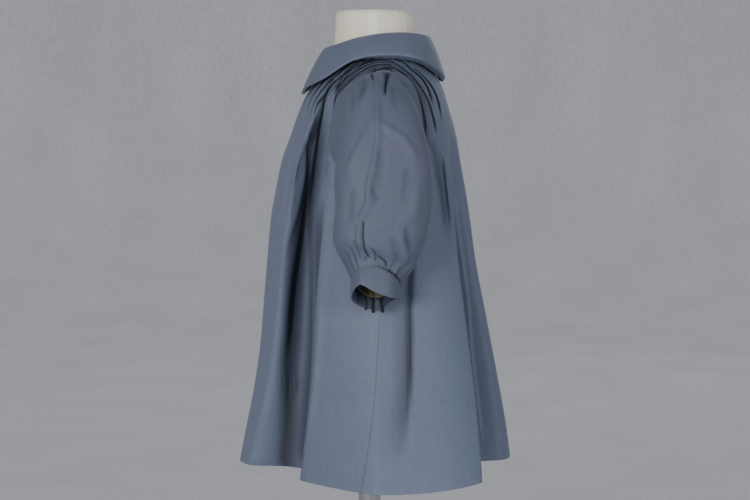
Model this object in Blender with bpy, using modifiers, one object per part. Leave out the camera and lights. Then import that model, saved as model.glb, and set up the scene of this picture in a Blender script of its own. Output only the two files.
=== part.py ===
"""A small child's smock dress on a limbless dress form and its stand.

Metres, +Z up. The dress front faces -Y and the wearer's left is +X. The origin is the centre of the
underside of the stand's base. The cloth pieces are open surfaces worked out from the section, fold and
ring tables below, and given their thickness by Solidify.
"""

import math

import bmesh
import bpy
import numpy as np

# Driving sizes, metres
CLOTH_WALL = 0.0010
SEAM_GAP = 0.0003
SHOULDER_SEAM_HALF_GAP = 0.0003
TUCKS = 6
TUCK_HEIGHT = 0.0013
# Heights across one tuck, as shares of TUCK_HEIGHT: it rises slowly and drops at its folded edge
TUCK_PROFILE = (0.0, 0.45, 0.85, 1.0)
NECK_STEPS = 8
ARMHOLE_STEPS = 10
ROWS = (0.0, 0.025, 0.06, 0.10, 0.15, 0.21, 0.29, 0.39, 0.51, 0.65, 0.82, 1.0)
# Columns leave the top edge sideways and only then run down: the power of a row's share of the way down
DOWN_POWER = 1.3

# Body of the dress, from the neckline down to the hem: the left half of each level. side, side_y and side_z
# are the point over the shoulder or the side seam, front and back the centre points, and the two round
# columns say how full each quarter is (1 straight, 2 elliptical, 3 boxy).
SECTION_COLUMNS = (
    "side", "side_y", "side_z", "front", "front_z", "back", "back_z", "front_round", "back_round",
)
SECTIONS = (
    (0.047, 0.012, 0.632, -0.044, 0.612, 0.058, 0.626, 2.0, 2.0),
    (0.074, 0.020, 0.6245, -0.058, 0.600, 0.068, 0.613, 2.0, 2.0),
    (0.097, 0.022, 0.6095, -0.067, 0.587, 0.076, 0.597, 2.0, 2.0),
    (0.112, 0.022, 0.595, -0.075, 0.568, 0.083, 0.575, 2.0, 2.0),
    (0.117, 0.020, 0.569, -0.083, 0.545, 0.091, 0.545, 2.0, 2.1),
    (0.115, 0.017, 0.538, -0.092, 0.520, 0.096, 0.515, 2.0, 2.2),
    (0.111, 0.015, 0.505, -0.098, 0.492, 0.101, 0.488, 1.9, 2.2),
    (0.113, 0.013, 0.470, -0.104, 0.458, 0.106, 0.455, 1.8, 2.3),
    (0.118, 0.012, 0.425, -0.108, 0.415, 0.112, 0.412, 1.65, 2.4),
    (0.127, 0.011, 0.375, -0.112, 0.368, 0.121, 0.365, 1.5, 2.5),
    (0.138, 0.010, 0.325, -0.116, 0.322, 0.130, 0.318, 1.4, 2.6),
    (0.151, 0.009, 0.280, -0.123, 0.276, 0.138, 0.275, 1.3, 2.7),
    (0.165, 0.008, 0.238, -0.131, 0.236, 0.144, 0.240, 1.25, 2.8),
    (0.179, 0.008, 0.198, -0.138, 0.200, 0.148, 0.210, 1.2, 2.9),
)
CHEST_LEVEL = 4.0
HEM_LEVEL = float(len(SECTIONS) - 1)
SHOULDER_LEVEL = 2.6
UNDERARM_LEVEL = 6.0

# The deep folds. start and end are the levels where one begins and fades out. at is its place between the
# side seam (0) and the centre (1); near and far are the widths of its two banks, towards the seam and
# towards the centre; in and along are how far its floor moves to the centre plane and to mid depth.
FOLD_COLUMNS = (
    "side", "panel", "start", "end", "at_top", "at_hem", "near_top", "near_hem", "far_top", "far_hem",
    "in_top", "in_hem", "along_top", "along_hem",
)
TO_HEM = 99.0
# A fold reaches its depth in this share of its way to the hem, and fades out over this many levels
FOLD_GROWTH = 0.22
FOLD_FADE = 2.0
FOLDS = (
    (1, "front", 2.9, TO_HEM, 0.400, 0.525, 0.055, 0.055, 0.13, 0.30, 0.021, 0.050, 0.000, 0.012),
    (1, "front", 4.2, 8.0, 0.600, 0.660, 0.05, 0.06, 0.06, 0.08, 0.003, 0.006, 0.000, 0.000),
    (1, "back", 3.6, TO_HEM, 0.680, 0.580, 0.08, 0.14, 0.16, 0.40, 0.004, 0.070, 0.000, 0.030),
    (1, "back", 4.2, 8.4, 0.470, 0.470, 0.06, 0.06, 0.05, 0.06, 0.005, 0.008, 0.000, 0.000),
    (1, "back", 6.6, 12.6, 0.160, 0.070, 0.05, 0.05, 0.05, 0.06, 0.005, 0.005, 0.000, 0.000),
    (-1, "front", 2.9, TO_HEM, 0.420, 0.550, 0.060, 0.065, 0.14, 0.28, 0.019, 0.046, 0.000, 0.010),
    (-1, "front", 4.0, 8.6, 0.640, 0.700, 0.05, 0.06, 0.06, 0.08, 0.003, 0.006, 0.000, 0.000),
    (-1, "back", 3.6, TO_HEM, 0.660, 0.600, 0.08, 0.14, 0.16, 0.38, 0.004, 0.062, 0.000, 0.028),
    (-1, "back", 4.0, 8.8, 0.450, 0.460, 0.06, 0.06, 0.05, 0.06, 0.005, 0.008, 0.000, 0.000),
    (-1, "back", 6.6, 12.9, 0.190, 0.110, 0.05, 0.05, 0.05, 0.06, 0.004, 0.006, 0.000, 0.000),
)

# Armhole: how far it reaches round from the shoulder seam towards the centre front and centre back
ARMHOLE_FRONT = 0.34
ARMHOLE_BACK = 0.28
# A lower power than 1 makes the hole fuller at its top and bottom
ARMHOLE_FULLNESS = 0.85
# Cloth below the armhole hangs straight down from its edge, and what starts above its widest place spreads
# by this share past it. The tucks' cloth then reaches this share of the way from side seam to centre.
ARMHOLE_SPREAD = 0.07
SHARE_TUCKS = 0.70
# The tucks end at this level of the shoulder, under the collar, and fade out down the panel's rows
TUCKS_END_LEVEL = 0.8
TUCKS_FADE = (0.15, 0.38)
# Share of the plain stretch of the top edge that is still shoulder, the rest being neckline
SHOULDER_PART = 0.25
# The cloth has run round from the shoulder to where it hangs by this share of its way down
TURN_DOWN_BY = 0.17

# Sleeve: rings between the armhole and the cuff. Centre, half size front to back, half size across the
# arm, the tilt of the ring from upright (0) to level (90), and how low the back of the ring hangs.
SLEEVE_COLUMNS = ("x", "y", "z", "half_y", "half_across", "tilt", "back_drop")
SLEEVE_RINGS = (
    (0.1240, 0.009, 0.5530, 0.0450, 0.0500, 8.0, 0.0),
    (0.1350, 0.011, 0.5420, 0.0465, 0.0490, 20.0, 0.0),
    (0.1430, 0.013, 0.5250, 0.0470, 0.0430, 36.0, 0.0),
    (0.1490, 0.0145, 0.500, 0.0475, 0.0360, 54.0, 0.0),
    (0.1530, 0.0145, 0.474, 0.0465, 0.0330, 66.0, 2.0),
    (0.1555, 0.0125, 0.450, 0.0445, 0.0320, 71.0, 6.0),
    (0.1570, 0.0095, 0.431, 0.0400, 0.0310, 70.0, 14.0),
    (0.1580, 0.0085, 0.4195, 0.0310, 0.0265, 66.0, 20.0),
)
SLEEVE_STEPS = 2 * ARMHOLE_STEPS
SLEEVE_ROUND = 2.3
# The sleeve's first and last stretches run square to the armhole and to the cuff
SLEEVE_END = 0.002

# Cuff: its lower ring, and how deep the band is
CUFF_CENTRE = (0.1660, 0.0030, 0.3850)
CUFF_HALF_Y = 0.0255
CUFF_HALF_ACROSS = 0.0240
CUFF_TILT = 62.0
CUFF_BACK_DROP = 22.0
CUFF_DEPTH = 0.025
CUFF_FLARE = 0.0015
CUFF_WALL = 0.0014
CUFF_ROUND = 2.0
CUFF_ROWS = (1.0, 0.5, 0.0)

# Collar: from the centre front (0) to the centre back (1) of each half. The roll is its top line, the edge
# its outer one; its seam follows the neckline.
COLLAR_COLUMNS = ("at", "roll_x", "roll_y", "roll_z", "edge_x", "edge_y", "edge_z")
COLLAR_STATIONS = (
    (0.00, 0.0013, -0.0475, 0.6370, 0.0210, -0.0705, 0.5900),
    (0.14, 0.0190, -0.0435, 0.6380, 0.0430, -0.0645, 0.5960),
    (0.30, 0.0370, -0.0310, 0.6410, 0.0670, -0.0450, 0.6055),
    (0.45, 0.0480, -0.0110, 0.6465, 0.0800, -0.0140, 0.6235),
    (0.60, 0.0520, 0.0150, 0.6505, 0.0830, 0.0220, 0.6280),
    (0.75, 0.0460, 0.0390, 0.6515, 0.0740, 0.0530, 0.6235),
    (0.88, 0.0280, 0.0560, 0.6505, 0.0450, 0.0720, 0.6120),
    (1.00, 0.0013, 0.0625, 0.6500, 0.0080, 0.0790, 0.6070),
)
COLLAR_SIDE_AT = 0.56
COLLAR_STEPS = 16
COLLAR_WALL = 0.0012
# Shares of the way up the stand and down the fall where its cross-section has points, how far the roll
# stands above its line, and how far the fall bows up
COLLAR_STAND = (0.0, 0.5, 0.88)
COLLAR_FALL = (0.03, 0.08, 0.24, 0.42, 0.62, 0.82, 1.0)
COLLAR_BOW = 0.0035
# A lower power than 1 makes the bow of the fall fuller at its ends
COLLAR_BOW_FULLNESS = 0.8
COLLAR_SEAM_RISE = 0.0010

# Dress form, from the flat top of the neck down to its flat underside: height, half width, front and back
FORM_NECK = (
    (0.6760, 0.0350, -0.0330, 0.0410),
    (0.6735, 0.0370, -0.0350, 0.0440),
    (0.6690, 0.0380, -0.0355, 0.0465),
    (0.6560, 0.0390, -0.0360, 0.0485),
    (0.6440, 0.0395, -0.0370, 0.0495),
    (0.6340, 0.0400, -0.0385, 0.0505),
)
FORM_TRUNK = (
    (0.5250, 0.0930, -0.0640, 0.0760),
    (0.4900, 0.0880, -0.0620, 0.0750),
    (0.4500, 0.0820, -0.0600, 0.0720),
    (0.4100, 0.0780, -0.0580, 0.0700),
    (0.3700, 0.0780, -0.0560, 0.0700),
    (0.3400, 0.0780, -0.0540, 0.0700),
    (0.3240, 0.0730, -0.0500, 0.0660),
    (0.3200, 0.0690, -0.0460, 0.0620),
)
FORM_STEPS = 28
# The shoulders carry the dress: levels of the dress, and how far the form lies inside the cloth's middle
FORM_SHOULDERS = ((0.0, 0.0014), (0.7, 0.0014), (1.4, 0.0014), (2.1, 0.0016), (2.8, 0.0040), (3.6, 0.0100))
FORM_MIDDLE_Y = 0.013

# Stand
POLE_RADIUS = 0.0120
FLANGE_RADIUS = 0.042
FLANGE_THICKNESS = 0.006
FLANGE_LOW = FORM_TRUNK[-1][0] - SEAM_GAP - FLANGE_THICKNESS
BASE_RADIUS = 0.150
BASE_THICKNESS = 0.012
BASE_BEVEL = 0.003
HUB_RADIUS = 0.024
HUB_HEIGHT = 0.030
HUB_BEVEL = 0.002

# How finely widths are measured, the step used to find a surface's slope, and what counts as nothing
WIDTH_SAMPLES = 361
SLOPE_STEP = 1e-3
TINY = 1e-9
# Edges sharper than this, in degrees, are shaded sharp; the facets round the stand's pieces
FORM_SHARP = 50.0
STAND_SHARP = 40.0
BASE_FACETS = 48
FLANGE_FACETS = 32
ROD_FACETS = 24
BEVEL_STEPS = 2

CLOTH_COLOUR = (0.165, 0.195, 0.262, 1.0)
FORM_COLOUR = (0.56, 0.53, 0.46, 1.0)
CHROME_COLOUR = (0.72, 0.72, 0.73, 1.0)
CLOTH_ROUGHNESS = 0.55
FORM_ROUGHNESS = 0.9
CHROME_ROUGHNESS = 0.18


def column(table, columns, name):
    return np.array([row[columns.index(name)] for row in table], dtype=float)


def smooth(edge_low, edge_high, value):
    share = np.clip((value - edge_low) / (edge_high - edge_low), 0.0, 1.0)
    return share * share * (3.0 - 2.0 * share)


def curve_through(places, values, at):
    """A smooth curve through (places, values), with the slopes of the neighbouring points."""
    slopes = np.gradient(values, places)
    index = np.clip(np.searchsorted(places, at) - 1, 0, len(places) - 2)
    width = places[index + 1] - places[index]
    share = (at - places[index]) / width
    rise = share * share * (3.0 - 2.0 * share)
    low_part = share * (1.0 - share) ** 2 * width
    high_part = share * share * (share - 1.0) * width
    return (
        values[index] * (1.0 - rise) + values[index + 1] * rise
        + slopes[index] * low_part + slopes[index + 1] * high_part
    )


LEVELS = np.arange(len(SECTIONS), dtype=float)


def section_value(name, level):
    return curve_through(LEVELS, column(SECTIONS, SECTION_COLUMNS, name), level)


def fold_depths(side, panel, share, level):
    """How far the folds move a point inwards and along, at its share of the way from seam to centre."""
    inward = np.zeros_like(share)
    along = np.zeros_like(share)
    for row in FOLDS:
        fold = dict(zip(FOLD_COLUMNS, row))
        if fold["side"] != side or fold["panel"] != panel:
            continue
        down = np.clip((level - fold["start"]) / (HEM_LEVEL - fold["start"]), 0.0, 1.0)
        grown = smooth(0.0, FOLD_GROWTH, down) * (1.0 - smooth(fold["end"] - FOLD_FADE, fold["end"], level))
        at = fold["at_top"] + (fold["at_hem"] - fold["at_top"]) * down
        near = fold["near_top"] + (fold["near_hem"] - fold["near_top"]) * down
        far = fold["far_top"] + (fold["far_hem"] - fold["far_top"]) * down
        bump = np.where(share < at, smooth(-near, 0.0, share - at), 1.0 - smooth(0.0, far, share - at))
        inward += bump * grown * (fold["in_top"] + (fold["in_hem"] - fold["in_top"]) * down)
        along += bump * grown * (fold["along_top"] + (fold["along_hem"] - fold["along_top"]) * down)
    return inward, along


def body_points(side, panel, share, level):
    """Points on the body of the dress. share runs from the side seam (0) to the centre (1)."""
    share, level = np.broadcast_arrays(np.asarray(share, float), np.asarray(level, float))
    turn = share * math.pi / 2.0
    power = 2.0 / section_value(panel + "_round", level)
    across = np.abs(np.cos(turn)) ** power
    ahead = np.abs(np.sin(turn)) ** power
    side_y = section_value("side_y", level)
    side_z = section_value("side_z", level)
    x = section_value("side", level) * across
    y = side_y + (section_value(panel, level) - side_y) * ahead
    z = side_z + (section_value(panel + "_z", level) - side_z) * ahead * ahead
    inward, along = fold_depths(side, panel, share, level)
    towards = 1.0 if panel == "front" else -1.0
    return np.stack([side * (x - inward), y + towards * along, z], axis=-1)


def hanging_shares(side, panel, widths):
    """For each level from the chest down, the shares at which the cloth's width is divided as asked."""
    fine = np.linspace(0.0, 1.0, WIDTH_SAMPLES)
    rows = []
    for level in LEVELS[int(CHEST_LEVEL):]:
        points = body_points(side, panel, fine, level)
        steps = np.linalg.norm(np.diff(points, axis=0), axis=1)
        length = np.concatenate([[0.0], np.cumsum(steps)])
        rows.append(np.interp(widths, length / length[-1], fine))
    return np.array(rows)


def half_top_edge(panel):
    """The top edge of half a panel, from the underarm over the armhole, the shoulder and the neckline.

    Each point has its share and level, its share of the cloth's width further down, and its tuck height.
    """
    round_hole = np.linspace(0.0, 1.0, ARMHOLE_STEPS + 1)[:-1]
    hole_share, hole_level = armhole_place(panel, round_hole)
    tuck_steps = TUCKS * len(TUCK_PROFILE)
    along_tucks = np.linspace(0.0, 1.0, tuck_steps + 1)
    tuck_level = SHOULDER_LEVEL + (TUCKS_END_LEVEL - SHOULDER_LEVEL) * along_tucks
    along_neck = np.linspace(0.0, 1.0, NECK_STEPS + 1)[1:]
    neck_level = TUCKS_END_LEVEL * np.clip(1.0 - along_neck / SHOULDER_PART, 0.0, 1.0)
    neck_share = np.clip((along_neck - SHOULDER_PART) / (1.0 - SHOULDER_PART), 0.0, 1.0)
    share = np.concatenate([hole_share, np.zeros(tuck_steps + 1), neck_share])
    level = np.concatenate([hole_level, tuck_level, neck_level])
    widest = ARMHOLE_FRONT if panel == "front" else ARMHOLE_BACK
    below_widest = widest * np.sin(math.pi * np.minimum(round_hole, 0.5)) ** ARMHOLE_FULLNESS
    past_widest = ARMHOLE_SPREAD * np.clip(2.0 * round_hole - 1.0, 0.0, 1.0)
    hole_width = widest + ARMHOLE_SPREAD
    width = np.concatenate([
        below_widest + past_widest,
        hole_width + (SHARE_TUCKS - hole_width) * along_tucks,
        SHARE_TUCKS + (1.0 - SHARE_TUCKS) * along_neck,
    ])
    profile = np.tile(TUCK_PROFILE, TUCKS)
    height = TUCK_HEIGHT * np.concatenate([np.zeros(ARMHOLE_STEPS), profile, np.zeros(1 + NECK_STEPS)])
    return share, level, width, height


def armhole_place(panel, round_hole):
    """Share and level of the armhole's edge, from the underarm (0) to the shoulder point (1)."""
    reach = ARMHOLE_FRONT if panel == "front" else ARMHOLE_BACK
    share = reach * np.sin(math.pi * np.clip(round_hole, 0.0, 1.0)) ** ARMHOLE_FULLNESS
    level = UNDERARM_LEVEL + (SHOULDER_LEVEL - UNDERARM_LEVEL) * round_hole
    return share, level


def half_panel(side, panel):
    """A grid of points, one column for each point of the top edge, and how high the tucks stand there."""
    top_share, top_level, width, tuck_height = half_top_edge(panel)
    shares = hanging_shares(side, panel, width)
    down = np.array(ROWS)[:, None]
    level = top_level + (HEM_LEVEL - top_level) * down**DOWN_POWER
    hanging_level = np.clip(level, CHEST_LEVEL, HEM_LEVEL) - CHEST_LEVEL
    hanging = np.empty_like(level)
    for j in range(level.shape[1]):
        hanging[:, j] = np.interp(hanging_level[:, j], np.arange(len(shares)), shares[:, j])
    turned = np.sin(np.clip(down / TURN_DOWN_BY, 0.0, 1.0) * math.pi / 2.0)
    share = top_share + (hanging - top_share) * turned
    points = body_points(side, panel, share, level)
    height = tuck_height * (1.0 - smooth(TUCKS_FADE[0], TUCKS_FADE[1], down))
    return points, height


def grid_normals(points):
    along = np.gradient(points, axis=1)
    down = np.gradient(points, axis=0)
    normals = np.cross(along, down)
    return normals / np.maximum(np.linalg.norm(normals, axis=-1, keepdims=True), TINY)


def dress_panel_grid(panel):
    """The whole panel, from the left side seam across the centre to the right side seam."""
    left, left_height = half_panel(1, panel)
    right, right_height = half_panel(-1, panel)
    points = np.concatenate([left, right[:, -2::-1]], axis=1)
    height = np.concatenate([left_height, right_height[:, -2::-1]], axis=1)
    normals = grid_normals(points)
    outwards = 1.0 if panel == "back" else -1.0
    middle = points.shape[1] // 2
    if normals[-1, middle, 1] * outwards < 0.0:
        normals = -normals
    points = points + normals * height[..., None]
    for j in (0, -1):
        points[:, j, 1] += outwards * SEAM_GAP / 2.0
    on_shoulder = ARMHOLE_STEPS + TUCKS * len(TUCK_PROFILE) + int(NECK_STEPS * SHOULDER_PART) + 1
    for j in list(range(ARMHOLE_STEPS, on_shoulder)) + list(range(-on_shoulder, -ARMHOLE_STEPS)):
        points[0, j, 1] += outwards * SHOULDER_SEAM_HALF_GAP
    return points


def material(name, colour, roughness, metallic=0.0):
    made = bpy.data.materials.new(name)
    made.use_nodes = True
    shader = made.node_tree.nodes["Principled BSDF"]
    shader.inputs["Base Color"].default_value = colour
    shader.inputs["Roughness"].default_value = roughness
    shader.inputs["Metallic"].default_value = metallic
    return made


def add_object(name, mesh, collection, finish):
    obj = bpy.data.objects.new(name, mesh)
    mesh.materials.append(finish)
    collection.objects.link(obj)
    return obj


def grid_mesh(name, points, closed=False):
    """A sheet of quads over a grid of points; closed joins its last column to its first."""
    rows, columns = points.shape[:2]
    spans = columns if closed else columns - 1
    faces = []
    for i in range(rows - 1):
        for j in range(spans):
            k = (j + 1) % columns
            faces.append((i * columns + j, i * columns + k, (i + 1) * columns + k, (i + 1) * columns + j))
    mesh = bpy.data.meshes.new(name)
    mesh.from_pydata([tuple(p) for p in points.reshape(-1, 3)], [], faces)
    mesh.shade_smooth()
    return mesh


def cloth_object(name, points, collection, finish, wall=CLOTH_WALL, closed=False):
    obj = add_object(name, grid_mesh(name, points, closed), collection, finish)
    solid = obj.modifiers.new("Wall", "SOLIDIFY")
    solid.thickness = wall
    solid.offset = 0.0
    return obj


def ring_axes(tilt, back_drop):
    """Directions of a ring: across the arm, outwards, and front to back."""
    tilt, back_drop = math.radians(tilt), math.radians(back_drop)
    across = np.array([math.sin(tilt), 0.0, math.cos(tilt)])
    backwards = np.array([0.0, math.cos(back_drop), -math.sin(back_drop)])
    return across, backwards


def ring_points(centre, half_y, half_across, tilt, back_drop, turns, roundness):
    """Points round a ring; turn 0 is the outer side of the arm and a quarter turn is its back."""
    across, backwards = ring_axes(tilt, back_drop)
    cosine, sine = np.cos(turns), np.sin(turns)
    power = 2.0 / roundness
    outer = np.sign(cosine) * np.abs(cosine) ** power * half_across
    back = np.sign(sine) * np.abs(sine) ** power * half_y
    return np.array(centre) + outer[:, None] * across + back[:, None] * backwards


def armhole_loop(side, turns):
    """The armhole's edge, and the direction out of the panel there; turn 0 is the shoulder."""
    loop = np.empty((len(turns), 3))
    normals = np.empty((len(turns), 3))
    for panel, behind in (("back", True), ("front", False)):
        turned = turns if behind else 2.0 * math.pi - turns
        here = turned <= math.pi + TINY
        share, level = armhole_place(panel, 1.0 - turned[here] / math.pi)
        points = body_points(side, panel, share, level)
        by_share = body_points(side, panel, share + SLOPE_STEP, level) - points
        by_level = body_points(side, panel, share, level + SLOPE_STEP) - points
        normal = np.cross(by_share, by_level)
        normal /= np.linalg.norm(normal, axis=1, keepdims=True)
        loop[here] = points
        normals[here] = normal * np.where(normal[:, 0] * side < 0.0, -1.0, 1.0)[:, None]
    return loop, normals


def sleeve_grid(side):
    turns = np.arange(SLEEVE_STEPS) * 2.0 * math.pi / SLEEVE_STEPS
    loop, normals = armhole_loop(side, turns)
    clear = CLOTH_WALL / 2.0 + SEAM_GAP
    rings = [loop + normals * clear, loop + normals * (clear + SLEEVE_END)]
    for row in SLEEVE_RINGS:
        ring = dict(zip(SLEEVE_COLUMNS, row))
        points = ring_points(
            (ring["x"], ring["y"], ring["z"]), ring["half_y"], ring["half_across"],
            ring["tilt"], ring["back_drop"], turns, SLEEVE_ROUND,
        )
        points[:, 0] *= side
        rings.append(points)
    rings.append(cuff_ring(side, turns, CUFF_DEPTH + SEAM_GAP + SLEEVE_END))
    rings.append(cuff_ring(side, turns, CUFF_DEPTH + SEAM_GAP))
    return np.array(rings)


def cuff_ring(side, turns, up):
    """A ring of the cuff, that far up from its lower edge."""
    across, backwards = ring_axes(CUFF_TILT, CUFF_BACK_DROP)
    axis = np.cross(across, backwards)
    axis /= np.linalg.norm(axis)
    if axis[2] < 0.0:
        axis = -axis
    centre = np.array(CUFF_CENTRE) + axis * up
    flare = CUFF_FLARE * (1.0 - min(up / CUFF_DEPTH, 1.0))
    points = ring_points(
        centre, CUFF_HALF_Y + flare, CUFF_HALF_ACROSS + flare, CUFF_TILT, CUFF_BACK_DROP, turns, CUFF_ROUND
    )
    points[:, 0] *= side
    return points


def cuff_grid(side):
    turns = np.arange(SLEEVE_STEPS) * 2.0 * math.pi / SLEEVE_STEPS
    return np.array([cuff_ring(side, turns, CUFF_DEPTH * share) for share in CUFF_ROWS])


def collar_grid(side):
    """Half a collar: up its stand from the neck seam, over the roll and down its fall."""
    at = column(COLLAR_STATIONS, COLLAR_COLUMNS, "at")
    place = np.linspace(0.0, 1.0, COLLAR_STEPS + 1)
    lines = {}
    for line in ("roll", "edge"):
        axes = [column(COLLAR_STATIONS, COLLAR_COLUMNS, line + "_" + axis) for axis in "xyz"]
        lines[line] = np.stack([curve_through(at, values, place) for values in axes], axis=-1)
    front_share = np.clip(1.0 - place / COLLAR_SIDE_AT, 0.0, 1.0)
    back_share = np.clip((place - COLLAR_SIDE_AT) / (1.0 - COLLAR_SIDE_AT), 0.0, 1.0)
    neck_front = body_points(1, "front", front_share, 0.0)
    neck_back = body_points(1, "back", back_share, 0.0)
    seam = np.where(place[:, None] < COLLAR_SIDE_AT, neck_front, neck_back)
    seam[:, 0] = np.maximum(seam[:, 0], lines["roll"][0, 0])
    seam[:, 2] += COLLAR_SEAM_RISE
    roll, edge = lines["roll"], lines["edge"]
    rows = [seam + (roll - seam) * share for share in COLLAR_STAND]
    for share in COLLAR_FALL:
        bow = COLLAR_BOW * math.sin(math.pi * share) ** COLLAR_BOW_FULLNESS if share < 1.0 else 0.0
        rows.append(roll + (edge - roll) * share + np.array([0.0, 0.0, bow]))
    points = np.array(rows)
    points[..., 0] *= side
    return points


def oval_ring(turns, z, side, front, back):
    x = side * np.cos(turns)
    y = (front + back) / 2.0 + (back - front) / 2.0 * np.sin(turns)
    return np.stack([x, y, np.full(len(turns), z)], axis=-1)


def shoulder_ring(turns, level, inside):
    """A ring of the form's shoulders: that level of the dress with no folds in it, moved inwards and down."""
    sine = np.sin(turns)
    ahead = np.abs(sine)
    side_y, side_z = section_value("side_y", level), section_value("side_z", level)
    centre_y = np.where(sine >= 0.0, section_value("back", level), section_value("front", level))
    centre_z = np.where(sine >= 0.0, section_value("back_z", level), section_value("front_z", level))
    x = section_value("side", level) * np.cos(turns)
    y = side_y + (centre_y - side_y) * ahead
    z = side_z + (centre_z - side_z) * ahead**2 - inside
    flat = np.stack([x, y - FORM_MIDDLE_Y], axis=-1)
    flat *= 1.0 - inside / np.linalg.norm(flat, axis=1, keepdims=True)
    return np.stack([flat[:, 0], flat[:, 1] + FORM_MIDDLE_Y, z], axis=-1)


def form_rings():
    """Rings of the dress form: the neck, the shoulders that carry the dress, and the trunk."""
    turns = np.arange(FORM_STEPS) * 2.0 * math.pi / FORM_STEPS
    neck = [oval_ring(turns, *row) for row in FORM_NECK]
    shoulders = [shoulder_ring(turns, np.array([level]), inside) for level, inside in FORM_SHOULDERS]
    trunk = [oval_ring(turns, *row) for row in FORM_TRUNK]
    return np.array(neck + shoulders + trunk)


def dress_form(collection, finish):
    rings = form_rings()
    mesh = grid_mesh("form_body", rings, closed=True)
    shape = bmesh.new()
    shape.from_mesh(mesh)
    shape.verts.ensure_lookup_table()
    top = [shape.verts[k] for k in range(FORM_STEPS)]
    last = (len(rings) - 1) * FORM_STEPS
    bottom = [shape.verts[last + k] for k in range(FORM_STEPS)]
    shape.faces.new(top)
    shape.faces.new(bottom)
    bmesh.ops.recalc_face_normals(shape, faces=shape.faces)
    shape.to_mesh(mesh)
    shape.free()
    mesh.set_sharp_from_angle(angle=math.radians(FORM_SHARP))
    return add_object("form_body", mesh, collection, finish)


def turned(name, radius, low, high, bevel, facets, collection, finish):
    """A disc or rod about the stand's axis."""
    mesh = bpy.data.meshes.new(name)
    shape = bmesh.new()
    bmesh.ops.create_cone(
        shape, cap_ends=True, segments=facets, radius1=radius, radius2=radius, depth=high - low
    )
    shape.to_mesh(mesh)
    shape.free()
    mesh.shade_smooth()
    mesh.set_sharp_from_angle(angle=math.radians(STAND_SHARP))
    obj = add_object(name, mesh, collection, finish)
    obj.location = (0.0, 0.0, (low + high) / 2.0)
    if bevel:
        rounded = obj.modifiers.new("Round", "BEVEL")
        rounded.width = bevel
        rounded.segments = BEVEL_STEPS
        rounded.limit_method = "ANGLE"
    return obj


def stand(collection, finish):
    hub_low = BASE_THICKNESS + SEAM_GAP
    hub_high = hub_low + HUB_HEIGHT
    pole_low = hub_high + SEAM_GAP
    turned("stand_base", BASE_RADIUS, 0.0, BASE_THICKNESS, BASE_BEVEL, BASE_FACETS, collection, finish)
    turned("stand_hub", HUB_RADIUS, hub_low, hub_high, HUB_BEVEL, ROD_FACETS, collection, finish)
    pole_high = FLANGE_LOW - SEAM_GAP
    flange_high = FLANGE_LOW + FLANGE_THICKNESS
    turned("stand_pole", POLE_RADIUS, pole_low, pole_high, 0.0, ROD_FACETS, collection, finish)
    turned("stand_flange", FLANGE_RADIUS, FLANGE_LOW, flange_high, 0.0, FLANGE_FACETS, collection, finish)


def main():
    for old in list(bpy.data.objects):
        bpy.data.objects.remove(old, do_unlink=True)
    dress = bpy.data.collections.new("smock_dress_on_form")
    bpy.context.scene.collection.children.link(dress)
    cloth = material("cloth", CLOTH_COLOUR, CLOTH_ROUGHNESS)
    ivory = material("form_cloth", FORM_COLOUR, FORM_ROUGHNESS)
    chrome = material("chrome", CHROME_COLOUR, CHROME_ROUGHNESS, 1.0)
    for panel in ("front", "back"):
        cloth_object(panel + "_panel", dress_panel_grid(panel), dress, cloth)
    for side, word in ((1, "left"), (-1, "right")):
        cloth_object("sleeve_" + word, sleeve_grid(side), dress, cloth, closed=True)
        cloth_object("cuff_" + word, cuff_grid(side), dress, cloth, wall=CUFF_WALL, closed=True)
        cloth_object("collar_" + word, collar_grid(side), dress, cloth, wall=COLLAR_WALL)
    dress_form(dress, ivory)
    stand(dress, chrome)


main()
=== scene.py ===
"""A child's silk smock dress on an ivory dress form with a chrome stand.

Metres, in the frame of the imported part: +Z up, the dress front faces -Y, the wearer's left is +X.
"""

import math

import bpy
import numpy as np
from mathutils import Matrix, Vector


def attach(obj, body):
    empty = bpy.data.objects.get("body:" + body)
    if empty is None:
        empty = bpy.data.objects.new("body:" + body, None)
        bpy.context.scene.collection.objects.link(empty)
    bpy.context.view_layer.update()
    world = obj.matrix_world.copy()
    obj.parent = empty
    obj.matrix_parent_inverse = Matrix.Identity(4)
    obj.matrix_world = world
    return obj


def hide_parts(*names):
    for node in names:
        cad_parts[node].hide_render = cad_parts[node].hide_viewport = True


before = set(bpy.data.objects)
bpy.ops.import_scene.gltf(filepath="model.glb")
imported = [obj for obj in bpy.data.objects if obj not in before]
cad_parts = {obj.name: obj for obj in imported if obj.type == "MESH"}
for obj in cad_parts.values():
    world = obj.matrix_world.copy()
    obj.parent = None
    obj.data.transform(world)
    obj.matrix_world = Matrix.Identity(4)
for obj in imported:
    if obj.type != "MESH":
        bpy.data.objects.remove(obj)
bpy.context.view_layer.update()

SIDES = ((1, "left"), (-1, "right"))
TINY = 1e-9

# Cloth: thickness of a single layer, and how far its outer face lies off the surface of the sections
SHELL = 0.0006
OUTER_FACE = 0.0005
# Offset of a wall that lies all inside its sheet, and of one that lies half on each side
WALL_INSIDE = -1.0
WALL_CENTRED = 0.0

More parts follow.
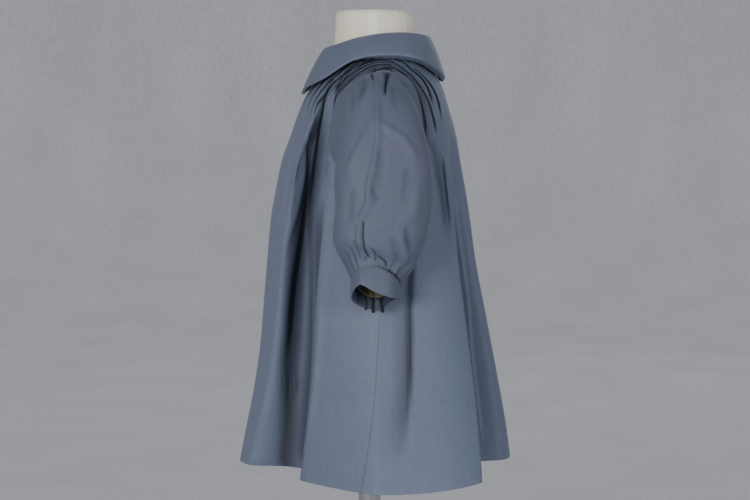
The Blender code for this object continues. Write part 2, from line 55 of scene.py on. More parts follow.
# Body of the dress, level by level from the neckline to the hem: the point over the shoulder or the side
# line, the centre front and the centre back, and how full the quarters are between them
SECTION_COLUMNS = (
    "side", "side_y", "side_z", "front", "front_z", "back", "back_z", "front_round", "back_round",
)
SECTIONS = (
    (0.047, 0.012, 0.632, -0.044, 0.612, 0.058, 0.626, 2.0, 2.0),
    (0.074, 0.020, 0.6245, -0.058, 0.600, 0.068, 0.613, 2.0, 2.0),
    (0.097, 0.022, 0.6095, -0.067, 0.587, 0.076, 0.597, 2.0, 2.0),
    (0.112, 0.022, 0.595, -0.075, 0.568, 0.083, 0.575, 2.0, 2.0),
    (0.117, 0.020, 0.569, -0.083, 0.545, 0.091, 0.545, 2.0, 2.1),
    (0.115, 0.017, 0.538, -0.092, 0.520, 0.096, 0.515, 2.0, 2.2),
    (0.111, 0.015, 0.505, -0.098, 0.492, 0.101, 0.488, 1.9, 2.2),
    (0.113, 0.013, 0.470, -0.104, 0.458, 0.106, 0.455, 1.8, 2.3),
    (0.118, 0.012, 0.425, -0.108, 0.415, 0.112, 0.412, 1.65, 2.4),
    (0.127, 0.011, 0.375, -0.112, 0.368, 0.121, 0.365, 1.5, 2.5),
    (0.138, 0.010, 0.325, -0.116, 0.322, 0.130, 0.318, 1.4, 2.6),
    (0.151, 0.009, 0.280, -0.123, 0.276, 0.138, 0.275, 1.3, 2.7),
    (0.165, 0.008, 0.238, -0.131, 0.236, 0.144, 0.240, 1.25, 2.8),
    (0.179, 0.008, 0.198, -0.138, 0.200, 0.148, 0.210, 1.2, 2.9),
)
CHEST_LEVEL = 4.0
HEM_LEVEL = float(len(SECTIONS) - 1)
LEVELS = np.arange(len(SECTIONS), dtype=float)

# The deep folds, as in the solids: side, panel, first and last level; where across the quarter the deepest
# line is at the top and the hem; width before it at top, middle and hem, and past it at top and hem; depth at
# top, middle and hem, and shift along the body at the hem
TO_HEM = 99.0
FOLD_GROWTH = 0.16
FOLD_FADE = 2.0
FOLDS = (
    (1, "front", 2.8, TO_HEM, 0.490, 0.535, 0.11, 0.130, 0.06, 0.05, 0.30, 0.006, 0.036, 0.050, 0.012),
    (1, "front", 4.2, 8.0, 0.660, 0.700, 0.05, 0.055, 0.06, 0.06, 0.08, 0.003, 0.005, 0.006, 0.000),
    (1, "back", 3.6, TO_HEM, 0.680, 0.580, 0.08, 0.110, 0.14, 0.16, 0.40, 0.004, 0.036, 0.070, 0.030),
    (1, "back", 4.2, 8.4, 0.470, 0.470, 0.06, 0.060, 0.06, 0.05, 0.06, 0.005, 0.006, 0.008, 0.000),
    (-1, "front", 2.8, TO_HEM, 0.500, 0.550, 0.11, 0.125, 0.065, 0.06, 0.28, 0.006, 0.034, 0.046, 0.010),
    (-1, "front", 4.0, 8.6, 0.680, 0.720, 0.05, 0.055, 0.06, 0.06, 0.08, 0.003, 0.005, 0.006, 0.000),
    (-1, "back", 3.6, TO_HEM, 0.660, 0.600, 0.08, 0.110, 0.14, 0.16, 0.38, 0.004, 0.032, 0.062, 0.028),
    (-1, "back", 4.0, 8.8, 0.450, 0.460, 0.06, 0.060, 0.06, 0.05, 0.06, 0.005, 0.006, 0.008, 0.000),
)

# The side seam runs forward of the side line towards the hem: level, and share of the front quarter
SEAM_FORWARD = ((0.0, 0.0), (9.0, 0.0), (10.0, 0.035), (11.0, 0.065), (12.0, 0.115), (13.0, 0.170))

# Armhole: a rounded box in shares and levels
ARMHOLE_REACH = {"front": 0.355, "back": 0.258}
ARMHOLE_TOP = 2.3
ARMHOLE_LOW = 6.0
ARMHOLE_ROUND = {"front": 2.5, "back": 2.15}
ARMHOLE_SPREAD = 0.10

# Grid of half a panel: columns along armhole, shoulder seam and neckline, two more close to the side seam,
# and rows that are finer above FINE_TO. SHARE_TUCKS is where across the cloth the neckline starts. From its
# top edge the cloth turns down within TURN_DOWN_BY.
SHARE_TUCKS = 0.74
ARMHOLE_STEPS = 52
SHOULDER_STEPS = 62
NECK_STEPS = 62
SEAM_COLUMNS = (0.005, 0.011)
FINE_ROWS = 150
COARSE_ROWS = 92
FINE_TO = 0.38
TURN_DOWN_BY = 0.17
DOWN_POWER = 1.6

# Side seam: the painted shade along it, and the height under which that shade shows
SIDE_SEAM_PAINTED_SHADE = 0.27
SIDE_SEAM_SHOWS_FROM = 0.375
SIDE_SEAM_FADE = 0.03


def column(table, columns, name):
    return np.array([row[columns.index(name)] for row in table], dtype=float)


def smooth(low, high, value):
    share = np.clip((value - low) / (high - low), 0.0, 1.0)
    return share * share * (3.0 - 2.0 * share)


def unit(vectors):
    return vectors / np.maximum(np.linalg.norm(vectors, axis=-1, keepdims=True), TINY)


def curve_through(places, values, at):
    """A smooth curve through (places, values), with the slopes of the neighbouring points."""
    places = np.asarray(places, float)
    values = np.asarray(values, float)
    slopes = np.gradient(values, places, axis=0)
    index = np.clip(np.searchsorted(places, at) - 1, 0, len(places) - 2)
    width = places[index + 1] - places[index]
    share = (at - places[index]) / width
    if values.ndim > 1:
        extra = (1,) * (values.ndim - 1)
        share = share.reshape(share.shape + extra)
        width = width.reshape(width.shape + extra)
    rise = share * share * (3.0 - 2.0 * share)
    low_part = share * (1.0 - share) ** 2 * width
    high_part = share * share * (share - 1.0) * width
    return (
        values[index] * (1.0 - rise) + values[index + 1] * rise
        + slopes[index] * low_part + slopes[index + 1] * high_part
    )


def section_value(name, level):
    return curve_through(LEVELS, column(SECTIONS, SECTION_COLUMNS, name), level)


def lengths_along(points):
    """Length along a line up to each of its points."""
    return np.concatenate([[0.0], np.cumsum(np.linalg.norm(np.diff(points, axis=0), axis=1))])


def fold_depths(side, panel, share, level):
    inward = np.zeros_like(share)
    along = np.zeros_like(share)
    for row in FOLDS:
        start, end, at_top, at_hem = row[2:6]
        near_widths, (far_top, far_hem), depths, along_hem = row[6:9], row[9:11], row[11:14], row[14]
        if row[:2] != (side, panel):
            continue
        down = np.clip((level - start) / (HEM_LEVEL - start), 0.0, 1.0)
        grown = smooth(0.0, FOLD_GROWTH, down) * (1.0 - smooth(end - FOLD_FADE, end, level))
        at = at_top + (at_hem - at_top) * down
        near = curve_through([0.0, 0.5, 1.0], near_widths, down)
        far = far_top + (far_hem - far_top) * down
        bump = np.where(share < at, smooth(-near, 0.0, share - at), 1.0 - smooth(0.0, far, share - at))
        inward += bump * grown * curve_through([0.0, 0.5, 1.0], depths, down)
        along += bump * grown * along_hem * down
    return inward, along


def quarter_points(side, panel, share, level):
    """Points on a quarter of the body; share runs from the side line (0) to the centre (1)."""
    turn = share * math.pi / 2.0
    power = 2.0 / section_value(panel + "_round", level)
    across = np.abs(np.cos(turn)) ** power
    ahead = np.abs(np.sin(turn)) ** power
    side_y = section_value("side_y", level)
    side_z = section_value("side_z", level)
    x = section_value("side", level) * across
    y = side_y + (section_value(panel, level) - side_y) * ahead
    z = side_z + (section_value(panel + "_z", level) - side_z) * ahead * ahead
    inward, along = fold_depths(side, panel, share, level)
    towards = 1.0 if panel == "front" else -1.0
    return np.stack([side * (x - inward), y + towards * along, z], axis=-1)


def body_points(side, around, level):
    """Points on the body; around runs from the centre front (-1) past the side line (0) to the back (1)."""
    around, level = np.broadcast_arrays(np.asarray(around, float), np.asarray(level, float))
    front = quarter_points(side, "front", np.clip(-around, 0.0, 1.0), level)
    back = quarter_points(side, "back", np.clip(around, 0.0, 1.0), level)
    return np.where((around < 0.0)[..., None], front, back)


def seam_around(level):
    places, shares = np.array(SEAM_FORWARD).T
    return -curve_through(places, shares, np.asarray(level, float))


def armhole_edge(panel, turn):
    """Share and level of the armhole's edge, from the underarm (0) to the shoulder point (half a turn)."""
    power = 2.0 / ARMHOLE_ROUND[panel]
    middle = (ARMHOLE_TOP + ARMHOLE_LOW) / 2.0
    half = (ARMHOLE_LOW - ARMHOLE_TOP) / 2.0
    share = ARMHOLE_REACH[panel] * np.abs(np.sin(turn)) ** power
    level = middle + half * np.sign(np.cos(turn)) * np.abs(np.cos(turn)) ** power
    return share, level


def hanging_places(side, panel, widths):
    """For each level from the chest down, where around the body the cloth's width is divided as asked."""
    fine = np.linspace(0.0, 1.0, 401)
    end = -1.0 if panel == "front" else 1.0
    rows = []
    for level in LEVELS[int(CHEST_LEVEL):]:
        start = float(seam_around(level))
        around = start + (end - start) * fine
        points = body_points(side, around, level)
        length = lengths_along(points)
        rows.append(np.interp(widths, length / length[-1], around))
    return np.array(rows)


def half_panel(side, panel):
    """Where the points of half a panel lie: places around the body and levels, rows down, columns across."""
    sign = -1.0 if panel == "front" else 1.0
    turn = np.linspace(0.0, math.pi, ARMHOLE_STEPS + 1)[:-1]
    fine = np.linspace(0.0, turn[1], 400)
    beside_seam = np.interp(SEAM_COLUMNS, armhole_edge(panel, fine)[0], fine)
    turn = np.concatenate([turn[:1], beside_seam, turn[1:]])
    hole_share, hole_level = armhole_edge(panel, turn)
    seam_level = np.linspace(ARMHOLE_TOP, 0.0, SHOULDER_STEPS + 1)
    neck_share = np.linspace(0.0, 1.0, NECK_STEPS + 1)[1:]
    top_share = np.concatenate([hole_share, np.zeros(SHOULDER_STEPS + 1), neck_share])
    top_level = np.concatenate([hole_level, seam_level, np.zeros(NECK_STEPS)])
    past_widest = np.clip(2.0 * turn / math.pi - 1.0, 0.0, 1.0)
    reach = ARMHOLE_REACH[panel]
    lower = np.where(turn < math.pi / 2.0, hole_share, reach)
    along_shoulder = np.linspace(0.0, 1.0, SHOULDER_STEPS + 1)
    hole_width = reach + ARMHOLE_SPREAD
    widths = np.concatenate([
        lower + ARMHOLE_SPREAD * past_widest,
        hole_width + (SHARE_TUCKS - hole_width) * along_shoulder,
        SHARE_TUCKS + (1.0 - SHARE_TUCKS) * neck_share,
    ])
    hanging = hanging_places(side, panel, widths)
    down = np.concatenate([
        np.linspace(0.0, FINE_TO, FINE_ROWS, endpoint=False), np.linspace(FINE_TO, 1.0, COARSE_ROWS),
    ])[:, None]
    level = top_level + (HEM_LEVEL - top_level) * down**DOWN_POWER
    place = np.clip(level, CHEST_LEVEL, HEM_LEVEL) - CHEST_LEVEL
    hung = np.empty_like(level)
    for j in range(level.shape[1]):
        hung[:, j] = np.interp(place[:, j], np.arange(len(hanging)), hanging[:, j])
    turned = np.sin(np.clip(down / TURN_DOWN_BY, 0.0, 1.0) * math.pi / 2.0)
    around = sign * top_share + (hung - sign * top_share) * turned
    return around, level


def grid_normals(points, closed=False):
    if closed:
        around = np.roll(points, -1, axis=1) - np.roll(points, 1, axis=1)
    else:
        around = np.gradient(points, axis=1)
    down = np.gradient(points, axis=0)
    return unit(np.cross(around, down))


def smooth_path(path, steps=10):
    """The path's points and smooth ones between them."""
    path = np.asarray(path, float)
    if len(path) < 3:
        return path[0] + (path[-1] - path[0]) * np.linspace(0.0, 1.0, steps)[:, None]
    length = lengths_along(path)
    return curve_through(length, path, np.linspace(0.0, length[-1], steps * (len(path) - 1) + 1))


def beside_path(flat, path):
    """Signed distance from a path, positive to the right of its way down, and the share along it."""
    line = smooth_path(path)
    start, run = line[:-1], np.diff(line, axis=0)
    length = np.linalg.norm(run, axis=1)
    total = np.concatenate([[0.0], np.cumsum(length)])
    best = np.full(len(flat), 1e9)
    signed = np.zeros(len(flat))
    along = np.zeros(len(flat))
    for k in range(len(run)):
        away = flat - start[k]
        share = np.clip(away @ run[k] / length[k] ** 2, 0.0, 1.0)
        gap = away - share[:, None] * run[k]
        distance = np.linalg.norm(gap, axis=1)
        nearer = distance < best
        cross = run[k][0] * away[:, 1] - run[k][1] * away[:, 0]
        best = np.where(nearer, distance, best)
        signed = np.where(nearer, np.where(cross > 0.0, 1.0, -1.0) * distance, signed)
        along = np.where(nearer, (total[k] + share * length[k]) / total[-1], along)
    return signed, along


# Tucks: how far the groove lies under the tuck's line, and its depth over the lip's height. TUCK stands in
# the growth column of a crease that is a tuck.
TUCK_GROOVE = 0.0005
TUCK_DEPTH = 0.55
TUCK = 0.0


def crease_relief(flat, creases):
    """Heights of a table of creases, and the painted shade of their hollows.

    Each row is (before, after, grow, height, shade, fade in, fade out, path), in millimetres; shade is how
    dark the hollow is painted. A ridge, or a valley with a height below 0, has two half widths, before and
    after its line; they grow along the line. A tuck has a lip above its line and a narrow groove right under
    it, and its painted shade lies in the groove.
    """
    heights = np.zeros(len(flat))
    shades = np.zeros(len(flat))
    for before, after, grow, height, shade, fade_in, fade_out, path in creases:
        route = np.asarray(path, float) / 1000.0
        before, after, height = before / 1000.0, after / 1000.0, height / 1000.0
        margin = 3.0 * max(before, after) * max(grow, 1.0)
        low, high = route.min(0) - margin, route.max(0) + margin
        near = np.all((flat > low) & (flat < high), axis=1)
        if not near.any():
            continue
        gap, along = beside_path(flat[near], route)
        if grow == TUCK:
            if route[-1][0] > route[0][0]:
                gap = -gap
            dark = np.exp(-np.abs((gap - TUCK_GROOVE) / after) ** 2.5)
            rise = smooth(-before, -0.2 * before, gap) * (gap < TUCK_GROOVE) - TUCK_DEPTH * dark
        else:
            wider = 1.0 + (grow - 1.0) * along
            rise = np.exp(-((gap / (np.where(gap < 0.0, before, after) * wider)) ** 2))
            dark = rise
        fade = np.ones(len(gap))
        if fade_in > 0.0:
            fade *= smooth(0.0, fade_in, along)
        if fade_out > 0.0:
            fade *= 1.0 - smooth(1.0 - fade_out, 1.0, along)
        heights[near] += height * rise * fade
        shades[near] = np.maximum(shades[near], shade * dark * fade)
    return heights, shades


# Lines of the pressed tucks as seen from the wearer's left: (y, z) in millimetres, from the shoulder seam
TUCK_LINES = {
    "front_low": ((21, 613.5), (6, 612), (-2, 605), (-9, 602), (-14, 598), (-19, 593), (-24, 589),
        (-28, 583), (-30, 578)),
    "front_bundle": ((21, 618), (6, 617.5), (-11, 609), (-19, 602), (-27, 594), (-33, 587), (-35, 581),
        (-36, 576), (-39, 562)),
    "front_third": ((21, 620.5), (7, 620), (-9, 614), (-16, 607.5), (-23, 601), (-29, 594), (-34, 587),
        (-37, 580)),
    "front_fourth": ((21, 622.5), (3, 622), (-9, 617), (-16, 610), (-23, 605), (-29, 598), (-35, 590),
        (-38, 583)),
    "front_fifth": ((5, 624), (-12, 618), (-21, 611), (-28, 606), (-30, 599), (-33, 594), (-37, 587)),
    "front_sixth": ((0, 627), (-14, 619), (-27, 607), (-35, 601), (-40, 595), (-51, 579), (-55, 567),
        (-57, 552)),
    "back_low": ((22.5, 612), (30, 608), (37, 602), (40, 596), (43, 587), (47, 577), (51, 562), (54, 550)),
    "back_second": ((22.5, 615.5), (27, 613), (34, 608), (41, 600), (47, 592), (52, 582), (55, 571),
        (57, 560), (58, 545)),
    "back_third": ((22.5, 621.5), (27, 619), (34, 614), (42, 607), (48, 600), (55, 590), (60, 580),
        (64, 567), (69, 545)),
    "back_fourth": ((22.5, 625), (34, 621), (42, 614), (48, 609), (54, 603), (59, 595), (63, 584),
        (66, 574)),
    "back_fifth": ((46, 614), (53, 608), (60, 601), (66, 592), (70, 582), (73, 568), (75, 555)),
}
# Tucks of each panel: lip, groove and height in millimetres, painted shade of the groove, fade out, and the
# line they lie on, or the two lines that they lie between and their number
TUCKS = {
    "front": (
        (2.6, 0.62, 1.2, 1.0, 0.12, ("front_low",)),
        (1.1, 0.42, 0.7, 0.85, 0.45, ("front_low", "front_bundle", 4)),
        (2.0, 0.62, 1.1, 1.0, 0.30, ("front_bundle",)),
        (1.6, 0.55, 0.9, 1.0, 0.25, ("front_third",)),
        (1.8, 0.62, 1.1, 1.0, 0.20, ("front_fourth",)),
        (1.8, 0.55, 0.9, 0.95, 0.20, ("front_fifth",)),
        (2.4, 0.62, 1.1, 1.0, 0.35, ("front_sixth",)),
        (1.3, 0.45, 0.6, 0.7, 0.5, ("front_sixth", "front_fourth", 2)),
    ),
    "back": (
        (2.6, 0.62, 1.2, 1.0, 0.15, ("back_low",)),
        (2.6, 0.70, 1.2, 1.0, 0.10, ("back_second",)),
        (2.6, 0.62, 1.2, 1.0, 0.15, ("back_third",)),
        (2.6, 0.62, 1.1, 1.0, 0.20, ("back_fourth",)),
        (2.6, 0.60, 1.0, 0.9, 0.35, ("back_fifth",)),
        (1.1, 0.42, 0.6, 0.7, 0.6, ("back_second", "back_third", 3)),
        (1.2, 0.45, 0.6, 0.6, 0.7, ("back_third", "back_fourth", 1)),
    ),
}
# Tucks under the collar's front, beside the sixth: how far in front of it each lies, and its fade out
FOREMOST_TUCKS = ((5.0, 0.45), (10.0, 0.55), (15.0, 0.6))
FOREMOST_RISE = 0.35


def even_steps(path, count=9):
    path = np.asarray(path, float)
    length = lengths_along(path)
    at = np.linspace(0.0, length[-1], count)
    return np.stack([np.interp(at, length, path[:, 0]), np.interp(at, length, path[:, 1])], axis=-1)


def lines_between(first, last, count):
    """Paths spaced evenly between two others."""
    shares = np.arange(1, count + 1) / (count + 1.0)
    return [even_steps(first) * (1.0 - share) + even_steps(last) * share for share in shares]


def shoulder_tucks(panel):
    """Rows of the crease table for a panel's tucks."""
    rows = []
    for lip, groove, height, shade, fade_out, (first, *others) in TUCKS[panel]:
        paths = [TUCK_LINES[first]]
        if others:
            last, count = others
            paths = lines_between(TUCK_LINES[first], TUCK_LINES[last], count)
        rows += [(lip, groove, TUCK, height, shade, 0.0, fade_out, path) for path in paths]
    if panel == "front":
        for offset, fade_out in FOREMOST_TUCKS:
            path = np.asarray(TUCK_LINES["front_sixth"], float) + np.array([-offset, FOREMOST_RISE * offset])
            rows.append((2.0, 0.55, TUCK, 0.8, 0.9, 0.0, fade_out, path))
    return rows


# Creases of the body below the tucks, as seen from the wearer's left: (y, z) in millimetres
VALLEY = ((-46, 582), (-49, 566), (-52, 552), (-56, 526), (-60, 500), (-65, 473), (-69, 447), (-73, 420),
    (-77, 394), (-80, 367), (-82, 344), (-85, 314), (-85, 284), (-86, 242), (-90, 205))
RIGHT_GROOVE = ((44, 425), (41, 393), (41.5, 377), (42, 350), (41.5, 330), (41, 310), (37, 270), (26, 215))
VALLEY_FLANK = ((-43, 500), (-45, 482), (-48, 443), (-52, 398), (-56, 350), (-58, 321), (-63, 272),
    (-68, 215))
BODY_CREASES = (
    (1.1, 0.9, 2, -0.8, 0.9, 0, 0, ((-37, 603), (-40, 597), (-43, 590), (-46, 582))),
    (2.2, 1.6, 4.2, -1, 1, 0, 0.45, VALLEY),
    (5, 9, 1.8, -0.5, 0.7, 0.15, 0, VALLEY),
    # No height: painted shade only, on the valley's flank between its core and the near panel's edge
    (13, 0.9, 1.3, 0, 0.5, 0.2, 0, VALLEY_FLANK),
    (5, 4, 1, 1.6, 0, 0.15, 0.2, ((-39, 556), (-38, 501), (-41, 482), (-44, 443), (-48, 398), (-52, 350),
     (-54, 321), (-59, 272), (-64, 215))),
    (3, 1.5, 1.6, 2.2, 0, 0.1, 0.3, ((-47, 590), (-52, 572), (-61, 552), (-68, 500), (-75, 467), (-83, 441),
     (-90, 414))),
    (2.5, 3.5, 1.2, -1.8, 0.25, 0.15, 0.4, ((-62, 545), (-66, 533), (-75, 500), (-81, 480))),
    (3.5, 3.5, 1.2, -1.6, 0.22, 0.2, 0.3, ((-44, 548), (-44.5, 520), (-46, 495))),
    (3, 2, 1, 1.2, 0, 0.1, 0.1, ((75, 546), (79, 511), (85, 494), (89, 469), (92, 447), (99, 397),
     (102, 375), (105, 333), (118, 220))),
    (2.6, 3.4, 1.3, -1.2, 0.55, 0.1, 0.1, ((49, 592), (52, 575), (56, 555), (58, 535))),
    (4, 4, 1.3, -2.2, 0.35, 0.1, 0.3, ((60, 548), (68, 524), (70, 512), (74, 495), (79, 457), (82, 435))),
    (4.2, 2, 1.8, -2.6, 0.74, 0.08, 0.5, RIGHT_GROOVE),
    (11, 2.2, 1.5, -1.2, 0.36, 0.08, 0.3, RIGHT_GROOVE),
    (3, 3, 1.4, 1.4, 0, 0.2, 0.3, ((24, 364), (24, 310), (24, 258))),
    # Hem: puckers in the valley, beside it and near the side seam
    (0.9, 1, 1, -1, 0.4, 0.3, 0.3, ((-91, 296), (-90.5, 288), (-90, 284))),
    (1, 1, 1, -1, 0.4, 0.3, 0.3, ((-83.5, 291), (-84, 283), (-84.5, 272))),
    (1, 1, 1, 0.8, 0, 0.3, 0.3, ((-79, 293), (-78, 284), (-79, 278))),
    (1, 1.2, 1, -1, 0.35, 0.3, 0.3, ((-74, 290), (-74, 283), (-75, 276))),
    (1.6, 1.6, 1, -0.6, 0.1, 0.4, 0.4, ((-15, 296), (-17, 286), (-19, 278))),
    (1.6, 1.6, 1, -0.5, 0.1, 0.4, 0.4, ((-25, 292), (-26, 284))),
    (1.4, 1.4, 1, -0.5, 0.1, 0.4, 0.4, ((37, 286), (36, 277), (37, 268))),
    # Hem: line of the stitches
    (0.8, 0.8, 1, -0.35, 0.06, 0.05, 0.05, ((-104, 286), (-84, 282), (-50, 287), (-16, 291), (10, 290),
     (38, 283), (80, 283), (115, 276))),
)
# Side seam of the near side, and the edge of the turned seam allowance that shows through beside it
SEAM_CREASES = (
    (0.6, 0.6, 1, -0.5, 0.75, 0, 0, ((19.5, 625), (21.8, 611), (22, 602))),
    (0.5, 1.2, 1, 0.25, 0, 0.2, 0.2, ((12.5, 372), (10.5, 335), (9.5, 297), (6.5, 266), (2.5, 243))),
    (0.9, 0.9, 1, 0.3, 0, 0.2, 0.3, ((24, 368), (24, 335), (22, 300), (19, 270))),
)


# Fine crosswise pulls between the side seam and the edge of its allowance: their number, height and step down
PULLS = 9
PULLS_FROM = 352.0
PULL_STEP = 6.5
# How far the creases of the wearer's right side lie from those of the left
SIDE_SHIFT = 0.003


def seam_pulls():
    rows = []
    for k in range(PULLS):
        z = PULLS_FROM - PULL_STEP * k - 1.5 * math.sin(2.3 * k)
        rows.append((0.5, 0.7, 1.0, 0.32, 0.0, 0.2, 0.2, ((11.5, z), (17.0, z + 0.5), (22.5, z + 1.2))))
    return rows


def side_warp(flat, side):
    """The wearer's right side has the same creases, a little elsewhere."""
    if side > 0:
        return flat
    y, z = flat[:, 0], flat[:, 1]
    return np.stack([y + SIDE_SHIFT * np.sin(23.0 * z), z + SIDE_SHIFT * np.sin(31.0 * y + 1.0)], axis=1)


def relief(points, normals, side, creases):
    """Moves the points of one side outwards by the creases' heights, where the surface faces sideways, and
    gives the painted shade of their hollows there.
    """
    flat = points[..., 1:].reshape(-1, 2)
    on_side = points[..., 0].reshape(-1) * side > 0.0
    facing = smooth(0.02, 0.25, np.abs(normals[..., 0]).reshape(-1)) * on_side
    heights, shades = crease_relief(side_warp(flat, side), creases)
    heights = (heights * facing).reshape(points.shape[:2])
    return points + normals * heights[..., None], (shades * facing).reshape(points.shape[:2])


# Hem: length of cloth turned up inside, its rows, and the distance between the two layers
HEM_ALLOWANCE = 0.078
HEM_ROWS = 16
HEM_GAP = 0.0011


def hem_turned_up(points, normals, shades):
    """Rows that carry the cloth round the hem's edge and up inside it."""
    middle = points[-1] - normals[-1] * HEM_GAP / 2.0
    down = unit(points[-1] - points[-2])
    rows, painted_shades = [points], [shades]
    for turn in (0.25, 0.5, 0.75):
        angle = turn * math.pi
        ring = middle + (normals[-1] * math.cos(angle) + down * math.sin(angle)) * HEM_GAP / 2.0
        rows.append(ring[None])
        painted_shades.append(shades[-1:])
    length = np.cumsum(np.linalg.norm(np.diff(points[::-1], axis=0), axis=2).mean(axis=1))
    top = int(np.searchsorted(length, HEM_ALLOWANCE))
    picked = np.unique(np.linspace(0, top, HEM_ROWS).round().astype(int))
    inside = points[::-1][picked] - normals[::-1][picked] * HEM_GAP
    rows.append(inside)
    painted_shades.append(shades[::-1][picked])
    return np.concatenate(rows), np.concatenate(painted_shades)


# Least distance of the cloth from the form, how near the form has to be to count, and its lower end
FORM_GAP = 0.0008
FORM_NEAR = 0.030
FORM_BOTTOM = 0.318


def clear_of_form(points):
    """Points that a crease would carry into the form are set back on its surface."""
    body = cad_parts["form_body"]
    moved = points.copy()
    for i, j in np.argwhere(points[..., 2] > FORM_BOTTOM):
        found, spot, normal, _ = body.closest_point_on_mesh(Vector(points[i, j]), distance=FORM_NEAR)
        if not found:
            continue
        clear = (Vector(points[i, j]) - spot).dot(normal)
        if clear < FORM_GAP:
            moved[i, j] = spot + normal * FORM_GAP
    return moved


def panel_points(panel):
    """A whole panel: points of its outer face down to the hem and up inside it, and their painted shade."""
    creases = [*BODY_CREASES, *shoulder_tucks(panel), *SEAM_CREASES, *seam_pulls()]
    halves = []
    for side, _ in SIDES:
        around, level = half_panel(side, panel)
        points = body_points(side, around, level)
        normals = grid_normals(points)
        normals = normals * np.sign(np.sum(normals[-1, :, 0] * points[-1, :, 0]))
        points, shades = relief(points + normals * OUTER_FACE, normals, side, creases)
        points = clear_of_form(points)
        # Painted shade along the side seam, on the panel's edge column, low on the skirt
        z = points[:, 0, 2]
        seam_shows = 1.0 - smooth(SIDE_SEAM_SHOWS_FROM - SIDE_SEAM_FADE, SIDE_SEAM_SHOWS_FROM, z)
        shades[:, 0] = np.maximum(shades[:, 0], SIDE_SEAM_PAINTED_SHADE * seam_shows)
        halves.append(hem_turned_up(points, normals, shades))
    left, right = halves
    return [np.concatenate([one, other[:, -2::-1]], axis=1) for one, other in zip(left, right)]


def cloth_places(points):
    """Flat places of a grid's points in metres: along its rows and down its columns."""
    across = np.linalg.norm(np.diff(points, axis=1), axis=2)
    down = np.linalg.norm(np.diff(points, axis=0), axis=2)
    u = np.concatenate([np.zeros((points.shape[0], 1)), np.cumsum(across, axis=1)], axis=1)
    v = np.concatenate([np.zeros((1, points.shape[1])), np.cumsum(down, axis=0)], axis=0)
    return np.stack([u - u.mean(axis=1, keepdims=True), -v], axis=-1)


def grid_object(name, points, painted_shades=None, closed=False, flip=False):
    """A sheet of quads over a grid of points, with its flat places as UVs and the painted shade of its folds
    and seams as an attribute.
    """
    rows, columns = points.shape[:2]
    spans = columns if closed else columns - 1
    i, j = np.meshgrid(np.arange(rows - 1), np.arange(spans), indexing="ij")
    steps = ((0, 0), (0, 1), (1, 1), (1, 0))
    if flip:
        steps = steps[::-1]
    faces = np.stack([(i + down) * columns + (j + over) % columns for down, over in steps], axis=-1)
    mesh = bpy.data.meshes.new(name)
    mesh.from_pydata(points.reshape(-1, 3).tolist(), [], faces.reshape(-1, 4).tolist())
    wrapped = np.concatenate([points, points[:, :1]], axis=1) if closed else points
    places = cloth_places(wrapped)
    flat = np.stack([places[i + down, j + over] for down, over in steps], axis=2)
    layer = mesh.uv_layers.new(name="cloth")
    layer.data.foreach_set("uv", flat.reshape(-1).astype(np.float32))
    if painted_shades is not None:
        # Painted shade of folds, creases and seams, kept as a point attribute that darkens the silk
        painted_tone = mesh.attributes.new("fold_painted_shade", "FLOAT", "POINT")
        painted_tone.data.foreach_set("value", np.clip(painted_shades, 0.0, 1.0).reshape(-1).astype(np.float32))
    mesh.shade_smooth()
    obj = bpy.data.objects.new(name, mesh)
    bpy.context.scene.collection.objects.link(obj)
    return obj


def mirrored(rows, side):
    """A grid of points built for the wearer's left, on the side asked for."""
    points = np.array(rows)
    points[..., 0] *= side
    return points


def dress(piece, cloth, solid, wall=0.0, offset=WALL_CENTRED):
    """Makes a sheet a piece of the dress, in place of a solid unless that is "", and gives it a wall."""
    if wall:
        solidify = piece.modifiers.new("Wall", "SOLIDIFY")
        solidify.thickness = wall
        solidify.offset = offset
        solidify.use_even_offset = False
    piece.data.materials.append(cloth)
    if solid:
        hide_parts(solid)
    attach(piece, "root")


def panels(cloth):
    for panel in ("front", "back"):
        points, painted_shades = panel_points(panel)
        piece = grid_object(panel + "_panel_silk", points, painted_shades, flip=panel == "front")
        dress(piece, cloth, panel + "_panel")


def both_sides(*pieces):
    """Each piece on both sides of the dress, with the side's word for {} in its name and its solid's: (name,
    points and painted shades of a side, cloth, solid, whether it closes around, wall, the wall's offset)."""
    for side, word in SIDES:
        for name, shape, cloth, solid, closed, wall, offset in pieces:
            points, painted_shades = shape(side)
            piece = grid_object(name.format(word), points, painted_shades, closed, flip=side < 0)
            dress(piece, cloth, solid.format(word), wall, offset)


# Sleeve rings between the armhole and the cuff: centre, half widths along Y and across, tilt and drop of the
# back in degrees, and roundness
SLEEVE_RINGS = (
    (0.1240, 0.0095, 0.5535, 0.0400, 0.0500, 8.0, 0.0, 2.05),
    (0.1350, 0.0112, 0.5420, 0.0425, 0.0490, 20.0, 0.0, 2.1),
    (0.1430, 0.0135, 0.5250, 0.0450, 0.0430, 36.0, 0.0, 2.2),
    (0.1490, 0.0140, 0.500, 0.0475, 0.0360, 54.0, 0.0, 2.3),
    (0.1530, 0.0140, 0.474, 0.0465, 0.0330, 66.0, 2.0, 2.3),
    (0.1555, 0.0102, 0.450, 0.0450, 0.0320, 71.0, 6.0, 2.3),
    (0.1570, 0.0055, 0.431, 0.0405, 0.0305, 70.0, 14.0, 2.2),
)
# Grid of a sleeve, and the turns around it from the outer side over the back
SLEEVE_TURNS = 190
SLEEVE_ROWS = 150
AROUND = np.arange(SLEEVE_TURNS) * 2.0 * math.pi / SLEEVE_TURNS
# Where the sleeve starts outside the armhole, and its last rings at the cuff: lift along its axis, and swell
ARMHOLE_LIFTS = (0.0010, 0.0035)
WRIST_RINGS = ((0.0035, 1.06), (0.0, 1.0), (-0.002, 0.96))
